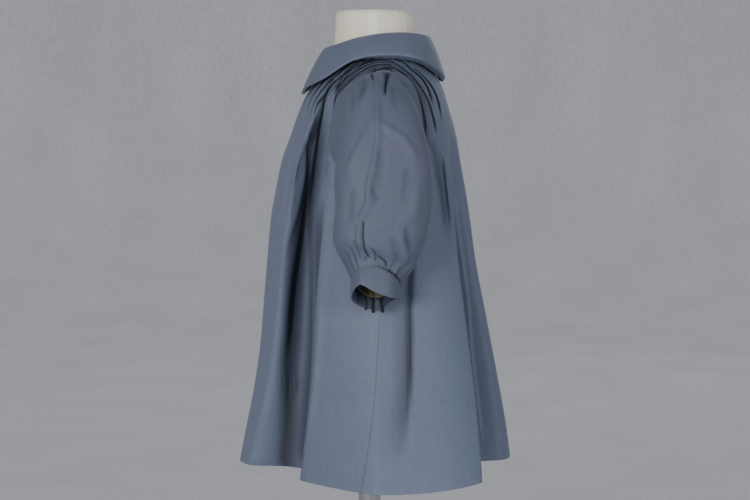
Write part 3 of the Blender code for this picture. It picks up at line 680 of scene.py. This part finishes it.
# The cuff's two rims at eighths of a turn from the outer side over the back: (x, y, z) in millimetres
CUFF_RIM = (
    (186, 6, 396), (182, 21, 390.5), (168, 28, 388), (151, 21.5, 382.5),
    (143, 7, 375.5), (150, -9, 379), (165, -17.8, 389), (182, -9.5, 403),
)
CUFF_SEAM = (
    (180, 7, 420.7), (176, 22.5, 413.5), (160, 30, 402), (142, 22.6, 393),
    (135, 6.8, 390.5), (142, -9.5, 396), (160, -17, 407), (176, -10, 418),
)
# Painted shade of the seam between sleeve and cuff: how far above the sleeve's end it lies, and its width
SEAM_AT = 0.0024
SEAM_WIDE = 0.0013
# Small gathers round the wrist: waves around, their height, how far up they reach, and their phase
WRIST_GATHERS = ((23.0, 0.0011, 0.016, 0.4), (37.0, 0.0006, 0.010, 1.9), (13.0, 0.0012, 0.030, 2.6))
# Creases of the sleeve as seen from the wearer's left: (y, z) in millimetres
SLEEVE_CREASES = (
    # Pockets between the gathers of the cap
    (1.6, 1.6, 0.5, -1.8, 0.65, 0, 0.5, ((2.2, 607.5), (3, 605.1), (4.2, 598.5))),
    (2.6, 2.2, 0.22, -3, 0.9, 0, 0.35, ((18.4, 608.5), (17.9, 603.5), (16.7, 597.5), (16, 591.5),
     (15.2, 582))),
    (0.9, 0.9, 1, -1, 0.6, 0, 0.3, ((14.6, 608.3), (15.7, 606), (17, 602.6))),
    (0.9, 0.9, 1, -1, 0.6, 0, 0.3, ((21.6, 608), (20.6, 605.6), (18.9, 602.1))),
    # Soft folds that fall from the cap
    (2, 2.4, 1.5, 1.3, 0, 0.1, 0.5, ((-0.4, 606), (0.9, 593.5), (-4.6, 583.1), (-9, 575))),
    (2.8, 2.8, 1.5, -1.3, 0.22, 0.1, 0.5, ((-3.6, 602.5), (-6.6, 590.5), (-11, 578.6))),
    (1.6, 1.8, 1.5, 0.9, 0, 0.2, 0.4, ((-17.5, 591.5), (-20.8, 577.6), (-21.7, 562.9))),
    (2, 2, 1.4, -0.8, 0.1, 0.2, 0.5, ((-14, 592), (-16.5, 578), (-17.5, 562))),
    (1.4, 2.2, 1.3, 1, 0, 0.2, 0.35, ((10.9, 601), (10.3, 595.5), (8.3, 580.6), (7.2, 558.9),
     (7.7, 543.3))),
    (1.8, 2.2, 1.4, 1, 0, 0.2, 0.4, ((28.6, 602.5), (34.3, 590.7), (41.6, 575.6))),
    (1, 1.2, 0.8, -0.9, 0.35, 0.2, 0.4, ((30, 600.5), (34, 596.5), (38.5, 591.5))),
    (3, 3, 1.4, -1, 0.14, 0.2, 0.5, ((22, 598), (25, 584), (28, 566))),
    # Main ridge and the long diagonals
    (1.8, 2.8, 1.6, 1.9, 0, 0.15, 0.15, ((8.6, 583), (7.6, 562), (7.7, 543.3), (3.9, 518.3), (-0.2, 500.5),
     (-1.5, 480.4), (-6.9, 469.5), (-7.7, 455))),
    (2.2, 2.6, 2.2, 1.4, 0, 0.45, 0.3, ((8, 585), (2.9, 561.9), (-7.8, 538.5), (-17.5, 518.3),
     (-23.6, 500.8))),
    (2.6, 2.2, 2.2, 1.4, 0, 0.45, 0.3, ((8, 580), (12.7, 559.9), (33.1, 543.3), (50.1, 516.2))),
    (4, 3, 1.4, -1.5, 0.12, 0.3, 0.4, ((13, 545), (12, 520), (7, 492), (4, 476))),
    (2.4, 2.4, 1.2, -1.2, 0.14, 0.3, 0.3, ((2.9, 500.1), (6.3, 490.5), (9.2, 482.7))),
    (4.5, 4.5, 1.2, -1.4, 0.08, 0.3, 0.4, ((38, 522), (37, 500), (30, 476))),
    (5, 5, 1.2, 1.5, 0, 0.3, 0.4, ((46, 505), (45, 482), (38, 458))),
    (4, 4, 1.2, -1.2, 0.08, 0.3, 0.4, ((-17, 500), (-19, 478), (-20, 455))),
    # Pulls above the cuff
    (1, 0.8, 1.1, -1.1, 0.9, 0.1, 0.1, ((-5.2, 466), (-5.4, 455), (-5.3, 445.6), (-4.2, 438.8), (-2, 433),
     (1.4, 428.2))),
    (2.4, 2.4, 1, 1.5, 0, 0.2, 0.3, ((-9.5, 462), (-9.7, 446), (-8, 436))),
    (0.7, 0.7, 1, -0.9, 0.6, 0.2, 0.2, ((-1.9, 431), (-3.8, 425.5))),
    (1.2, 0.6, 1, -1.1, 0.6, 0.2, 0.2, ((1, 439.8), (5.2, 435.3), (7.2, 430), (5.8, 424.1))),
    (1.4, 0.6, 1, -1.3, 0.7, 0.15, 0.15, ((8, 431.6), (12.5, 429), (16.7, 424.3), (18.2, 418.8))),
    (1.8, 1.8, 1, 1.2, 0, 0.2, 0.2, ((6.5, 428.6), (11.2, 425.6), (14.5, 420.8))),
    (1.1, 1.1, 1, -0.9, 0.25, 0.2, 0.2, ((-19.2, 441.7), (-14.4, 431.9), (-11.6, 419.4))),
    (1, 1, 1, -0.9, 0.22, 0.2, 0.2, ((-23.1, 436.8), (-18.3, 426), (-13.5, 413.6))),
    (1.1, 1.1, 1, -0.8, 0.18, 0.2, 0.2, ((-16.3, 447.5), (-11.5, 436.8), (-7.7, 424))),
    (1.1, 1.1, 1, -0.8, 0.18, 0.2, 0.2, ((-26, 430.9), (-21.2, 420.3), (-16.3, 409.9))),
    (2.6, 2.6, 1.2, 1.3, 0, 0.3, 0.3, ((28.9, 456.2), (32.7, 440.7), (38.6, 423))),
    (2.6, 2.6, 1.2, -1.2, 0.16, 0.3, 0.3, ((34.7, 462.9), (38.5, 446.5), (42.5, 431.9))),
    (3, 3, 1.2, -1.2, 0.14, 0.3, 0.3, ((22, 452), (25, 438), (31, 420))),
)
# The heights in the table are multiplied by it
SLEEVE_RELIEF = 1.35


def ring_points(x, y, z, half_y, half_across, tilt, back_drop, roundness):
    tilt, back_drop = math.radians(tilt), math.radians(back_drop)
    across = np.array([math.sin(tilt), 0.0, math.cos(tilt)])
    backwards = np.array([0.0, math.cos(back_drop), -math.sin(back_drop)])
    cosine, sine = np.cos(AROUND), np.sin(AROUND)
    power = 2.0 / roundness
    outer = np.sign(cosine) * np.abs(cosine) ** power * half_across
    back = np.sign(sine) * np.abs(sine) ** power * half_y
    return np.array([x, y, z]) + outer[:, None] * across + back[:, None] * backwards


def closed_curve(eighths, turns):
    """A smooth closed curve through eight points, in metres."""
    points = np.array(eighths, float) / 1000.0
    wrapped = np.concatenate([points[-2:], points, points[:3]])
    places = (np.arange(len(wrapped)) - 2.0) * math.pi / 4.0
    return curve_through(places, wrapped, turns)


def armhole_loop(side, turns):
    """The armhole's edge and the direction out of the panel there; turn 0 is the shoulder, then the back."""
    loop = np.empty((len(turns), 3))
    normals = np.empty((len(turns), 3))
    step = 1e-3
    for panel, behind in (("back", True), ("front", False)):
        turned = turns if behind else 2.0 * math.pi - turns
        here = turned <= math.pi + TINY
        sign = 1.0 if behind else -1.0
        share, level = armhole_edge(panel, math.pi - turned[here])
        points = body_points(side, sign * share, level)
        by_share = body_points(side, sign * (share + step), level) - points
        by_level = body_points(side, sign * share, level + step) - points
        normal = unit(np.cross(by_share, by_level))
        loop[here] = points
        normals[here] = normal * np.where(normal[:, 0] * side < 0.0, -1.0, 1.0)[:, None]
    return loop, normals


def gathers(turns, above_cuff):
    """Heights of the gathers above the cuff; they are deeper at the back and on the inner side."""
    heights = np.zeros((len(above_cuff), len(turns)))
    for waves, height, reach, phase in WRIST_GATHERS:
        wobble = 0.35 * np.sin(3.0 * turns + phase)
        strength = 0.55 + 0.45 * np.cos(turns + math.pi + phase * 0.3)
        fade = np.exp(-(above_cuff / reach) ** 2) * smooth(0.0, 0.0015, above_cuff)
        heights += height * fade[:, None] * (strength * np.sin(waves * turns + wobble * waves * 0.2 + phase))
    return heights


# Painted shade of the seam between sleeve and cuff: the least of it, its darker part towards the back and
# its ticks at the stitches on the outer side (shade, middle and width in turns), and the number of ticks
# around
SEAM_LEAST = 0.12
SEAM_BACK = (0.88, 0.95, 0.6)
SEAM_STITCHED = (0.45, 0.1, 0.55)
SEAM_TICKS = 62.0


def seam_painted_shade(turns):
    back, back_at, back_width = SEAM_BACK
    stitched, stitched_at, stitched_width = SEAM_STITCHED
    ticks = 0.5 + 0.5 * np.sin(SEAM_TICKS * turns + 2.0 * np.sin(5.0 * turns))
    past = np.mod(turns + 1.0, 2.0 * math.pi) - (1.0 + stitched_at)
    outside = np.exp(-((past / stitched_width) ** 2))
    dark = SEAM_LEAST + back * np.exp(-(((turns - back_at) / back_width) ** 2))
    return np.clip(dark + stitched * ticks * outside, 0.0, 1.0)


def outward_normals(points):
    normals = grid_normals(points, closed=True)
    return normals * np.sign(np.sum(normals * (points - points.mean(axis=1, keepdims=True))))


def sleeve_points(side):
    loop, normals = armhole_loop(side, AROUND)
    rings = [loop + normals * lift for lift in ARMHOLE_LIFTS]
    for row in SLEEVE_RINGS:
        rings.append(mirrored(ring_points(*row), side))
    seam = closed_curve(CUFF_SEAM, AROUND)
    middle = seam.mean(0)
    axis = unit(middle - closed_curve(CUFF_RIM, AROUND).mean(0))
    for lift, swell in WRIST_RINGS:
        rings.append(mirrored(middle + (seam - middle) * swell + axis * lift, side))
    rings = np.array(rings)
    steps = np.linalg.norm(np.diff(rings, axis=0), axis=2).mean(axis=1)
    places = np.concatenate([[0.0], np.cumsum(steps)])
    down = np.linspace(0.0, places[-1], SLEEVE_ROWS + 1)
    above_cuff = places[-1] - down
    points = curve_through(places, rings, down)
    points = points + outward_normals(points) * gathers(AROUND, above_cuff)[..., None]
    creases = [row[:3] + (row[3] * SLEEVE_RELIEF,) + row[4:] for row in SLEEVE_CREASES]
    points, painted_shades = relief(points, outward_normals(points), side, creases)
    # Painted shade along the seam just above the cuff, over the creases' painted shade
    at_seam = np.exp(-(((above_cuff - SEAM_AT) / SEAM_WIDE) ** 2))[:, None]
    return points, np.maximum(painted_shades, at_seam * seam_painted_shade(AROUND))


# Collar: from the centre front (0) to the centre back (1) of each half
COLLAR_COLUMNS = ("at", "roll_x", "roll_y", "roll_z", "edge_x", "edge_y", "edge_z")
COLLAR_STATIONS = (
    (0.00, 0.0013, -0.0475, 0.6370, 0.0210, -0.0705, 0.5900),
    (0.14, 0.0190, -0.0435, 0.6380, 0.0430, -0.0645, 0.5960),
    (0.30, 0.0370, -0.0310, 0.6410, 0.0670, -0.0450, 0.6055),
    (0.45, 0.0480, -0.0110, 0.6465, 0.0800, -0.0140, 0.6235),
    (0.60, 0.0520, 0.0150, 0.6505, 0.0830, 0.0220, 0.6280),
    (0.75, 0.0460, 0.0390, 0.6515, 0.0740, 0.0530, 0.6235),
    (0.88, 0.0280, 0.0560, 0.6505, 0.0450, 0.0720, 0.6120),
    (1.00, 0.0013, 0.0625, 0.6500, 0.0080, 0.0790, 0.6070),
)
# Where the side line meets the collar, its columns, its rows as shares of the stand and of the fall, its
# thickness, how far the fall bows out, the lip turned under its edge and the painted shade on it, and its
# seam's height above the neck
COLLAR_SIDE_AT = 0.56
COLLAR_STEPS = 84
COLLAR_STAND_ROWS = np.linspace(0.0, 0.9, 8)
COLLAR_FALL_ROWS = np.linspace(0.02, 1.0, 26)
COLLAR_WALL = 0.0014
COLLAR_BOW = 0.0035
COLLAR_LIP = 0.0050
COLLAR_LIP_ROWS = (0.25, 0.6, 1.0)
COLLAR_LIP_IN = 0.45
COLLAR_LIP_DOWN = 0.8
COLLAR_LIP_PAINTED_SHADE = 0.42
COLLAR_SEAM_RISE = 0.0010


def collar_points(side):
    """Half the collar: up from the neck seam to the roll, down to the edge and under it."""
    at = column(COLLAR_STATIONS, COLLAR_COLUMNS, "at")
    place = np.linspace(0.0, 1.0, COLLAR_STEPS + 1)
    lines = []
    for line in ("roll", "edge"):
        axes = [column(COLLAR_STATIONS, COLLAR_COLUMNS, line + "_" + axis) for axis in "xyz"]
        lines.append(np.stack([curve_through(at, values, place) for values in axes], axis=-1))
    roll, edge = lines
    around = np.where(
        place < COLLAR_SIDE_AT,
        place / COLLAR_SIDE_AT - 1.0,
        (place - COLLAR_SIDE_AT) / (1.0 - COLLAR_SIDE_AT),
    )
    seam = body_points(1, around, 0.0)
    seam[:, 0] = np.maximum(seam[:, 0], roll[0, 0])
    seam[:, 2] += COLLAR_SEAM_RISE
    rows = [seam + (roll - seam) * share for share in COLLAR_STAND_ROWS]
    for share in COLLAR_FALL_ROWS:
        bow = COLLAR_BOW * math.sin(math.pi * share) ** 0.8 if share < 1.0 else 0.0
        rows.append(roll + (edge - roll) * share + np.array([0.0, 0.0, bow]))
    painted_shades = [np.zeros(COLLAR_STEPS + 1) for row in rows]
    lip = COLLAR_LIP * (0.15 + 0.85 * smooth(0.42, 0.62, place))
    inwards_x = -COLLAR_LIP_IN * (edge[:, 0] > 0.02)
    inwards_y = -COLLAR_LIP_IN * np.sign(edge[:, 1])
    under = np.stack([inwards_x, inwards_y, np.full(len(place), -COLLAR_LIP_DOWN)], axis=-1)
    for share in COLLAR_LIP_ROWS:
        rows.append(edge + under * (lip * share)[:, None])
        # Painted shade on the lip under the collar's edge
        painted_shades.append(np.full(COLLAR_STEPS + 1, COLLAR_LIP_PAINTED_SHADE))
    return mirrored(rows, side), np.array(painted_shades)


# Cuff: distance between the band's faces, its rows, how far it swells, and the dents at its seam
CUFF_WALL = 0.0012
CUFF_ROWS = 22
CUFF_PUFF = 0.0009
CUFF_DENT = 0.00022
# Painted shade on the band's inner face
CUFF_INSIDE_PAINTED_SHADE = 0.22
# The sleeve's gathered end inside the far half of the cuff: its turns, gaps between its folds (turn in
# degrees, half width), how far inside the band it hangs, less in the gaps, and how far below the band's edge
GATHER_TURNS = np.linspace(112.0, 246.0, 180)
CUFF_GAPS = ((214.0, 2.8), (191.0, 6.0), (156.5, 6.5))
GATHER_DEPTH = 0.0052
GAP_DEPTH = 0.0030
CUFF_HANG = (
    (112.0, 0.0), (138.0, 0.0010), (148.0, 0.0080), (157.0, 0.0090), (164.0, 0.0078), (165.0, 0.0070),
    (181.0, 0.0066), (186.0, 0.0062), (196.0, 0.0058), (198.0, 0.0036), (212.0, 0.0044), (216.0, 0.0036),
    (246.0, 0.0),
)
# The facing inside the band: from above the seam to below it in shares of the band, and how far inside
FACING_FROM = -0.30
FACING_TO = 0.42
FACING_DEPTH = 0.0068
FACING_RIPPLE = 0.0004


def cuff_rings(turns):
    seam = closed_curve(CUFF_SEAM, turns)
    rim = closed_curve(CUFF_RIM, turns)
    middle = seam.mean(0) + (rim.mean(0) - seam.mean(0)) * 0.5
    return seam, rim, middle


def inwards(points, middle, depth):
    """Points moved towards the cuff's middle by a depth."""
    return points - unit(points - middle) * depth


def cuff_points(side):
    """The band: a slightly padded outer face, its lower edge, and the inner face up to the seam, with painted
    shade at the seam and on the inner face.
    """
    seam, rim, middle = cuff_rings(AROUND)
    rows, painted_shades = [], []
    for share in np.linspace(0.0, 1.0, CUFF_ROWS):
        puff = CUFF_PUFF * math.sin(math.pi * share) ** 0.5
        dent = CUFF_DENT * np.sin(31.0 * AROUND + 0.7) * math.exp(-((share / 0.25) ** 2))
        rows.append(inwards(seam + (rim - seam) * share, middle, (-puff - dent)[:, None]))
        # Painted shade of the seam along the band's top edge
        painted_shades.append(seam_painted_shade(AROUND) * math.exp(-((share / 0.035) ** 2)))
    for share in np.linspace(1.0, 0.0, CUFF_ROWS // 2):
        rows.append(inwards(seam + (rim - seam) * (share - 0.01), middle, CUFF_WALL))
        painted_shades.append(np.full(SLEEVE_TURNS, CUFF_INSIDE_PAINTED_SHADE))
    return mirrored(rows, side), np.array(painted_shades)


def inner_gather_points(side):
    """The sleeve's gathered end, which hangs below the band's edge on the far side, painted with shade."""
    seam, rim, middle = cuff_rings(np.radians(GATHER_TURNS))
    recess = np.zeros(len(GATHER_TURNS))
    for at, width in CUFF_GAPS:
        recess = np.maximum(recess, np.exp(-(((GATHER_TURNS - at) / width) ** 4)))
    depth = GATHER_DEPTH - GAP_DEPTH * recess
    places, hang = np.array(CUFF_HANG).T
    extra = np.interp(GATHER_TURNS, places, hang) * (1.15 - 0.15 * recess)
    down = unit(rim - seam)
    rows, painted_shades = [], []
    for share in np.linspace(0.25, 1.0, 16):
        row = seam + (rim - seam) * share + down * (extra * share**3)[:, None]
        rows.append(inwards(row, middle, (depth * (0.5 + 0.5 * share))[:, None]))
        # Painted shade: the gathers darken inside the band, most in the gaps between their folds
        painted_shades.append(np.clip(0.50 + 0.45 * recess - 0.10 * share, 0.0, 0.76))
    return mirrored(rows, side), np.array(painted_shades)


def facing_points(side):
    """A narrow facing inside the band."""
    seam, rim, middle = cuff_rings(AROUND)
    rows = []
    for share in np.linspace(FACING_FROM, FACING_TO, 8):
        ripple = FACING_RIPPLE * np.sin(17.0 * AROUND + 3.0 * share)
        rows.append(inwards(seam + (rim - seam) * share, middle, (FACING_DEPTH + ripple)[:, None]))
    return mirrored(rows, side), None


# Colour sockets of a Mix node: the two that it takes, and the result
MIX_FIRST, MIX_SECOND, MIX_RESULT = 6, 7, 2


class Look:
    """A material and its shader, with short ways to add the nodes that lead to it."""

    def __init__(self, name, **sockets):
        self.material = bpy.data.materials.new(name)
        self.material.use_nodes = True
        self.nodes = self.material.node_tree.nodes
        self.join = self.material.node_tree.links.new
        self.shader = self.nodes["Principled BSDF"]
        for socket, value in sockets.items():
            self.shader.inputs[socket.replace("_", " ")].default_value = value

    def link(self, output, socket):
        self.join(output, self.shader.inputs[socket])

    def node(self, kind, sources, **values):
        """A new node: sources are linked to its sockets, and values go to its sockets or settings."""
        node = self.nodes.new("ShaderNode" + kind)
        for name, value in values.items():
            if name in node.inputs:
                node.inputs[name].default_value = value
            else:
                setattr(node, name, value)
        for socket, output in sources.items():
            self.join(output, node.inputs[socket])
        return node

    def on_cloth(self):
        return self.node("UVMap", {}, uv_map="cloth").outputs["UV"]

    def in_space(self):
        return self.node("TexCoord", {}).outputs["Object"]

    def noise(self, place, scale, detail, roughness):
        """Noise with its own scale along each axis."""
        stretch = self.node("Mapping", {"Vector": place}, Scale=scale).outputs["Vector"]
        noise = self.node("TexNoise", {"Vector": stretch}, Scale=1.0, Detail=detail, Roughness=roughness)
        return noise.outputs["Fac"]

    def two_tone(self, fac, low, high, low_at=0.3, high_at=0.7):
        ramp = self.node("ValToRGB", {"Fac": fac})
        for element, place, colour in zip(ramp.color_ramp.elements, (low_at, high_at), (low, high)):
            element.position = place
            element.color = (*colour, 1.0)
        return ramp.outputs["Color"]

    def times(self, first, *others):
        """The colours multiplied; the first comes from a node, and each other from a node or as a value."""
        for other in others:
            mix = self.node("Mix", {MIX_FIRST: first}, data_type="RGBA", blend_type="MULTIPLY")
            mix.inputs[0].default_value = 1.0
            if isinstance(other, tuple):
                mix.inputs[MIX_SECOND].default_value = (*other, 1.0)
            else:
                self.join(other, mix.inputs[MIX_SECOND])
            first = mix.outputs[MIX_RESULT]
        return first

    def weave(self, colour, height, strength, distance):
        """Gives the shader its colour, and the threads' relief as bump."""
        bump = self.node("Bump", {"Height": height}, Strength=strength, Distance=distance)
        self.link(colour, "Base Color")
        self.link(bump.outputs["Normal"], "Normal")
        return self.material


# Silk: its two tones; the colour its deepest folds are painted with as shade, and the value of the painted
# shade where that is reached; and how much lighter or darker each part of the dress is painted, in place of
# the light that falls on it
SILK_BLUE = (0.098, 0.127, 0.178)
SILK_MAUVE = (0.108, 0.124, 0.182)
SILK_PAINTED_FOLD_SHADE = (0.028, 0.037, 0.058)
SILK_PAINTED_SHADE_FULL_AT = 0.85
SKIRT_PAINTED_BRIGHTNESS, SLEEVE_PAINTED_BRIGHTNESS, COLLAR_PAINTED_BRIGHTNESS = 1.17, 0.84, 1.10


def silk_material(name, painted_tone):
    """Blue-grey silk: a plain weave with slubs across, thread by thread, and painted shade in the deep folds.
    """
    look = Look(
        name, Roughness=0.58, Specular_IOR_Level=0.25,
        Sheen_Weight=0.10, Sheen_Roughness=0.4, Sheen_Tint=(0.75, 0.8, 1.0, 1.0),
    )
    cloth = look.on_cloth()
    slubs = look.noise(cloth, (60.0, 1400.0, 1.0), 3.0, 0.6)
    warp = look.noise(cloth, (1300.0, 35.0, 1.0), 2.0, 0.5)
    clouds = look.noise(look.in_space(), (16.0,) * 3, 3.0, 0.55)
    # Painted light and shade: this copy of the silk is made lighter or darker as a whole, in place of the
    # light that falls on its part
    blue, mauve = ([painted_tone * part for part in colour] for colour in (SILK_BLUE, SILK_MAUVE))
    # Painted shade, read from the cloth's attribute: the silk darkens towards the fold colour in folds,
    # creases and seams
    depth = look.node("Attribute", {}, attribute_name="fold_painted_shade").outputs["Fac"]
    colour = look.times(
        look.two_tone(clouds, blue, mauve),
        look.two_tone(slubs, (0.87, 0.87, 0.88), (1.09,) * 3),
        look.two_tone(warp, (0.91,) * 3, (1.06,) * 3),
        look.two_tone(depth, (1.0,) * 3, SILK_PAINTED_FOLD_SHADE, 0.0, SILK_PAINTED_SHADE_FULL_AT),
    )
    threads = look.node("Math", {0: slubs, 1: warp}, operation="ADD").outputs[0]
    return look.weave(colour, threads, 0.30, 0.00018)


def lining_material():
    look = Look("olive_facing", Roughness=0.8)
    threads = look.noise(look.on_cloth(), (900.0, 700.0, 1.0), 2.0, 0.6)
    colour = look.two_tone(threads, (0.065, 0.062, 0.028), (0.10, 0.095, 0.05))
    return look.weave(colour, threads, 0.3, 0.0002)


def form_material():
    look = Look("ivory_form_cloth", Roughness=0.85)
    threads = look.noise(look.in_space(), (900.0,) * 3, 2.0, 0.5)
    colour = look.two_tone(threads, (0.64, 0.60, 0.49), (0.74, 0.70, 0.59), 0.0, 1.0)
    return look.weave(colour, threads, 0.3, 0.0003)


def chrome_material():
    look = Look("stand_chrome", Base_Color=(0.50, 0.50, 0.515, 1.0), Metallic=1.0)
    grain = look.noise(look.in_space(), (60.0,) * 3, 3.0, 0.5)
    gloss = look.node("MapRange", {"Value": grain}, **{"To Min": 0.12, "To Max": 0.24})
    look.link(gloss.outputs["Result"], "Roughness")
    return look.material


# Tape down each side of the form: its width along Y, its ends, and how far it stands off
TAPE_FROM_Y, TAPE_TO_Y = -0.0019, 0.0087
TAPE_LOW, TAPE_HIGH = 0.335, 0.6755
TAPE_LIFT = 0.0003
TAPE_RAY_FROM = 0.4


def side_tapes():
    """The tape down each side of the form, laid on its surface."""
    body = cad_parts["form_body"]
    look = Look("tape_cloth", Roughness=0.75)
    threads = look.noise(look.in_space(), (900.0, 900.0, 1500.0), 2.0, 0.5)
    look.link(look.two_tone(threads, (0.70, 0.69, 0.65), (0.80, 0.79, 0.76)), "Base Color")
    for side, word in SIDES:
        rows = []
        for z in np.linspace(TAPE_HIGH, TAPE_LOW, 90):
            rows.append([])
            for y in np.linspace(TAPE_FROM_Y, TAPE_TO_Y, 7):
                start = Vector((TAPE_RAY_FROM * side, y, z))
                _, spot, normal, _ = body.ray_cast(start, Vector((-side, 0.0, 0.0)))
                rows[-1].append(tuple(spot + normal * TAPE_LIFT))
        tape = grid_object("form_tape_" + word, np.array(rows), flip=side > 0)
        tape.data.materials.append(look.material)
        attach(tape, "root")


# Floor that turns up all round into a wall: reach of the flat part, radius of the bend, the wall's top
FLOOR_REACH, FLOOR_BEND, WALL_TOP = 3.2, 1.2, 4.5
BEND_STEPS = 12
FLOOR_TURNS = 96
BACKDROP = (0.425, 0.43, 0.465)
BACKDROP_BASE = (0.10, 0.10, 0.105, 1.0)
BACKDROP_GLOW = 0.70


def stage():
    """A floor that turns up all round into a wall, in pale linen."""
    profile = [(0.0, 0.0)]
    for angle in np.linspace(0.0, math.pi / 2.0, BEND_STEPS + 1):
        profile.append((FLOOR_REACH + FLOOR_BEND * math.sin(angle), FLOOR_BEND * (1.0 - math.cos(angle))))
    profile.append((FLOOR_REACH + FLOOR_BEND, WALL_TOP))
    turns = np.arange(FLOOR_TURNS) * 2.0 * math.pi / FLOOR_TURNS
    points = np.array([
        [(radius * math.cos(t), radius * math.sin(t), height) for t in turns] for radius, height in profile
    ])
    floor = grid_object("floor_and_wall", points, closed=True)
    look = Look(
        "pale_backdrop", Roughness=0.95, Specular_IOR_Level=0.1,
        Base_Color=BACKDROP_BASE, Emission_Strength=BACKDROP_GLOW,
    )
    place = look.in_space()
    threads = look.noise(place, (140.0, 140.0, 30.0), 4.0, 0.75)
    clouds = look.noise(place, (5.0, 5.0, 0.5), 3.0, 0.5)
    linen = look.times(
        look.two_tone(threads, (0.87,) * 3, (1.12,) * 3),
        look.two_tone(clouds, (0.95, 0.95, 0.955), (1.05,) * 3),
        BACKDROP,
    )
    look.link(linen, "Emission Color")
    floor.data.materials.append(look.material)


# Lights, all aimed at LIT: name, place, size, power and colour. The world fills in.
LIT = (0.0, 0.0, 0.40)
LIGHTS = (
    ("key", (2.4, -1.35, 0.70), 0.9, 53.0, (1.0, 0.99, 0.98)),
    ("second", (2.3, 1.5, 0.8), 0.9, 28.0, (0.97, 0.98, 1.0)),
    ("back", (-2.4, 0.5, 1.3), 1.4, 6.0, (1.0, 1.0, 1.0)),
)
WORLD_COLOUR = (0.92, 0.94, 1.0, 1.0)
WORLD_STRENGTH = 0.36

# Camera of the photo, with its focal length in pixels over its width, on a sensor 36 mm wide
CAMERA_TARGET = (0.0, 0.0058, 0.425)
CAMERA_DISTANCE = 2.0
CAMERA_PITCH = 3.7
CAMERA_SENSOR = 36.0
CAMERA_LENS = 1887.0 / 750.0 * CAMERA_SENSOR


def aimed(name, data, place, target):
    """An object for a light or a camera, at a place and turned to a target."""
    holder = bpy.data.objects.new(name, data)
    holder.location = place
    holder.rotation_euler = (Vector(target) - Vector(place)).to_track_quat("-Z", "Y").to_euler()
    bpy.context.scene.collection.objects.link(holder)
    return holder


def lights():
    for name, place, size, power, colour in LIGHTS:
        light = bpy.data.lights.new(name, "AREA")
        light.energy = power
        light.size = size
        light.color = colour
        aimed(name, light, place, LIT)
    world = bpy.data.worlds.new("studio")
    world.use_nodes = True
    background = world.node_tree.nodes["Background"]
    background.inputs["Color"].default_value = WORLD_COLOUR
    background.inputs["Strength"].default_value = WORLD_STRENGTH
    bpy.context.scene.world = world


def camera():
    made = bpy.data.cameras.new("camera")
    made.sensor_width = CAMERA_SENSOR
    made.lens = CAMERA_LENS
    pitch = math.radians(CAMERA_PITCH)
    away = Vector((math.cos(pitch), 0.0, math.sin(pitch))) * CAMERA_DISTANCE
    bpy.context.scene.camera = aimed("camera", made, Vector(CAMERA_TARGET) + away, CAMERA_TARGET)


def main():
    camera()
    # Copies of one silk, made lighter and darker with painted light and shade for the parts they dress
    sleeve_silk = silk_material("sleeve_silk", SLEEVE_PAINTED_BRIGHTNESS)
    collar_silk = silk_material("collar_silk", COLLAR_PAINTED_BRIGHTNESS)
    panels(silk_material("skirt_silk_painted_lighter", SKIRT_PAINTED_BRIGHTNESS))
    both_sides(("sleeve_{}_silk", sleeve_points, sleeve_silk, "sleeve_{}", True, SHELL, WALL_INSIDE))
    both_sides(("collar_{}_silk", collar_points, collar_silk, "collar_{}", False, COLLAR_WALL, WALL_CENTRED))
    both_sides(
        ("cuff_{}_silk", cuff_points, sleeve_silk, "cuff_{}", True, 0.0, WALL_CENTRED),
        ("cuff_{}_inner_gathers", inner_gather_points, sleeve_silk, "", False, SHELL / 2.0, WALL_CENTRED),
        ("cuff_{}_facing", facing_points, lining_material(), "", True, SHELL, WALL_CENTRED),
    )
    side_tapes()
    chrome = chrome_material()
    finishes = {"form_body": form_material(), "stand_flange": chrome, "stand_pole": chrome,
                "stand_hub": chrome, "stand_base": chrome}
    for node, finish in finishes.items():
        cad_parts[node].data.materials.clear()
        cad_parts[node].data.materials.append(finish)
    stage()
    lights()


main()
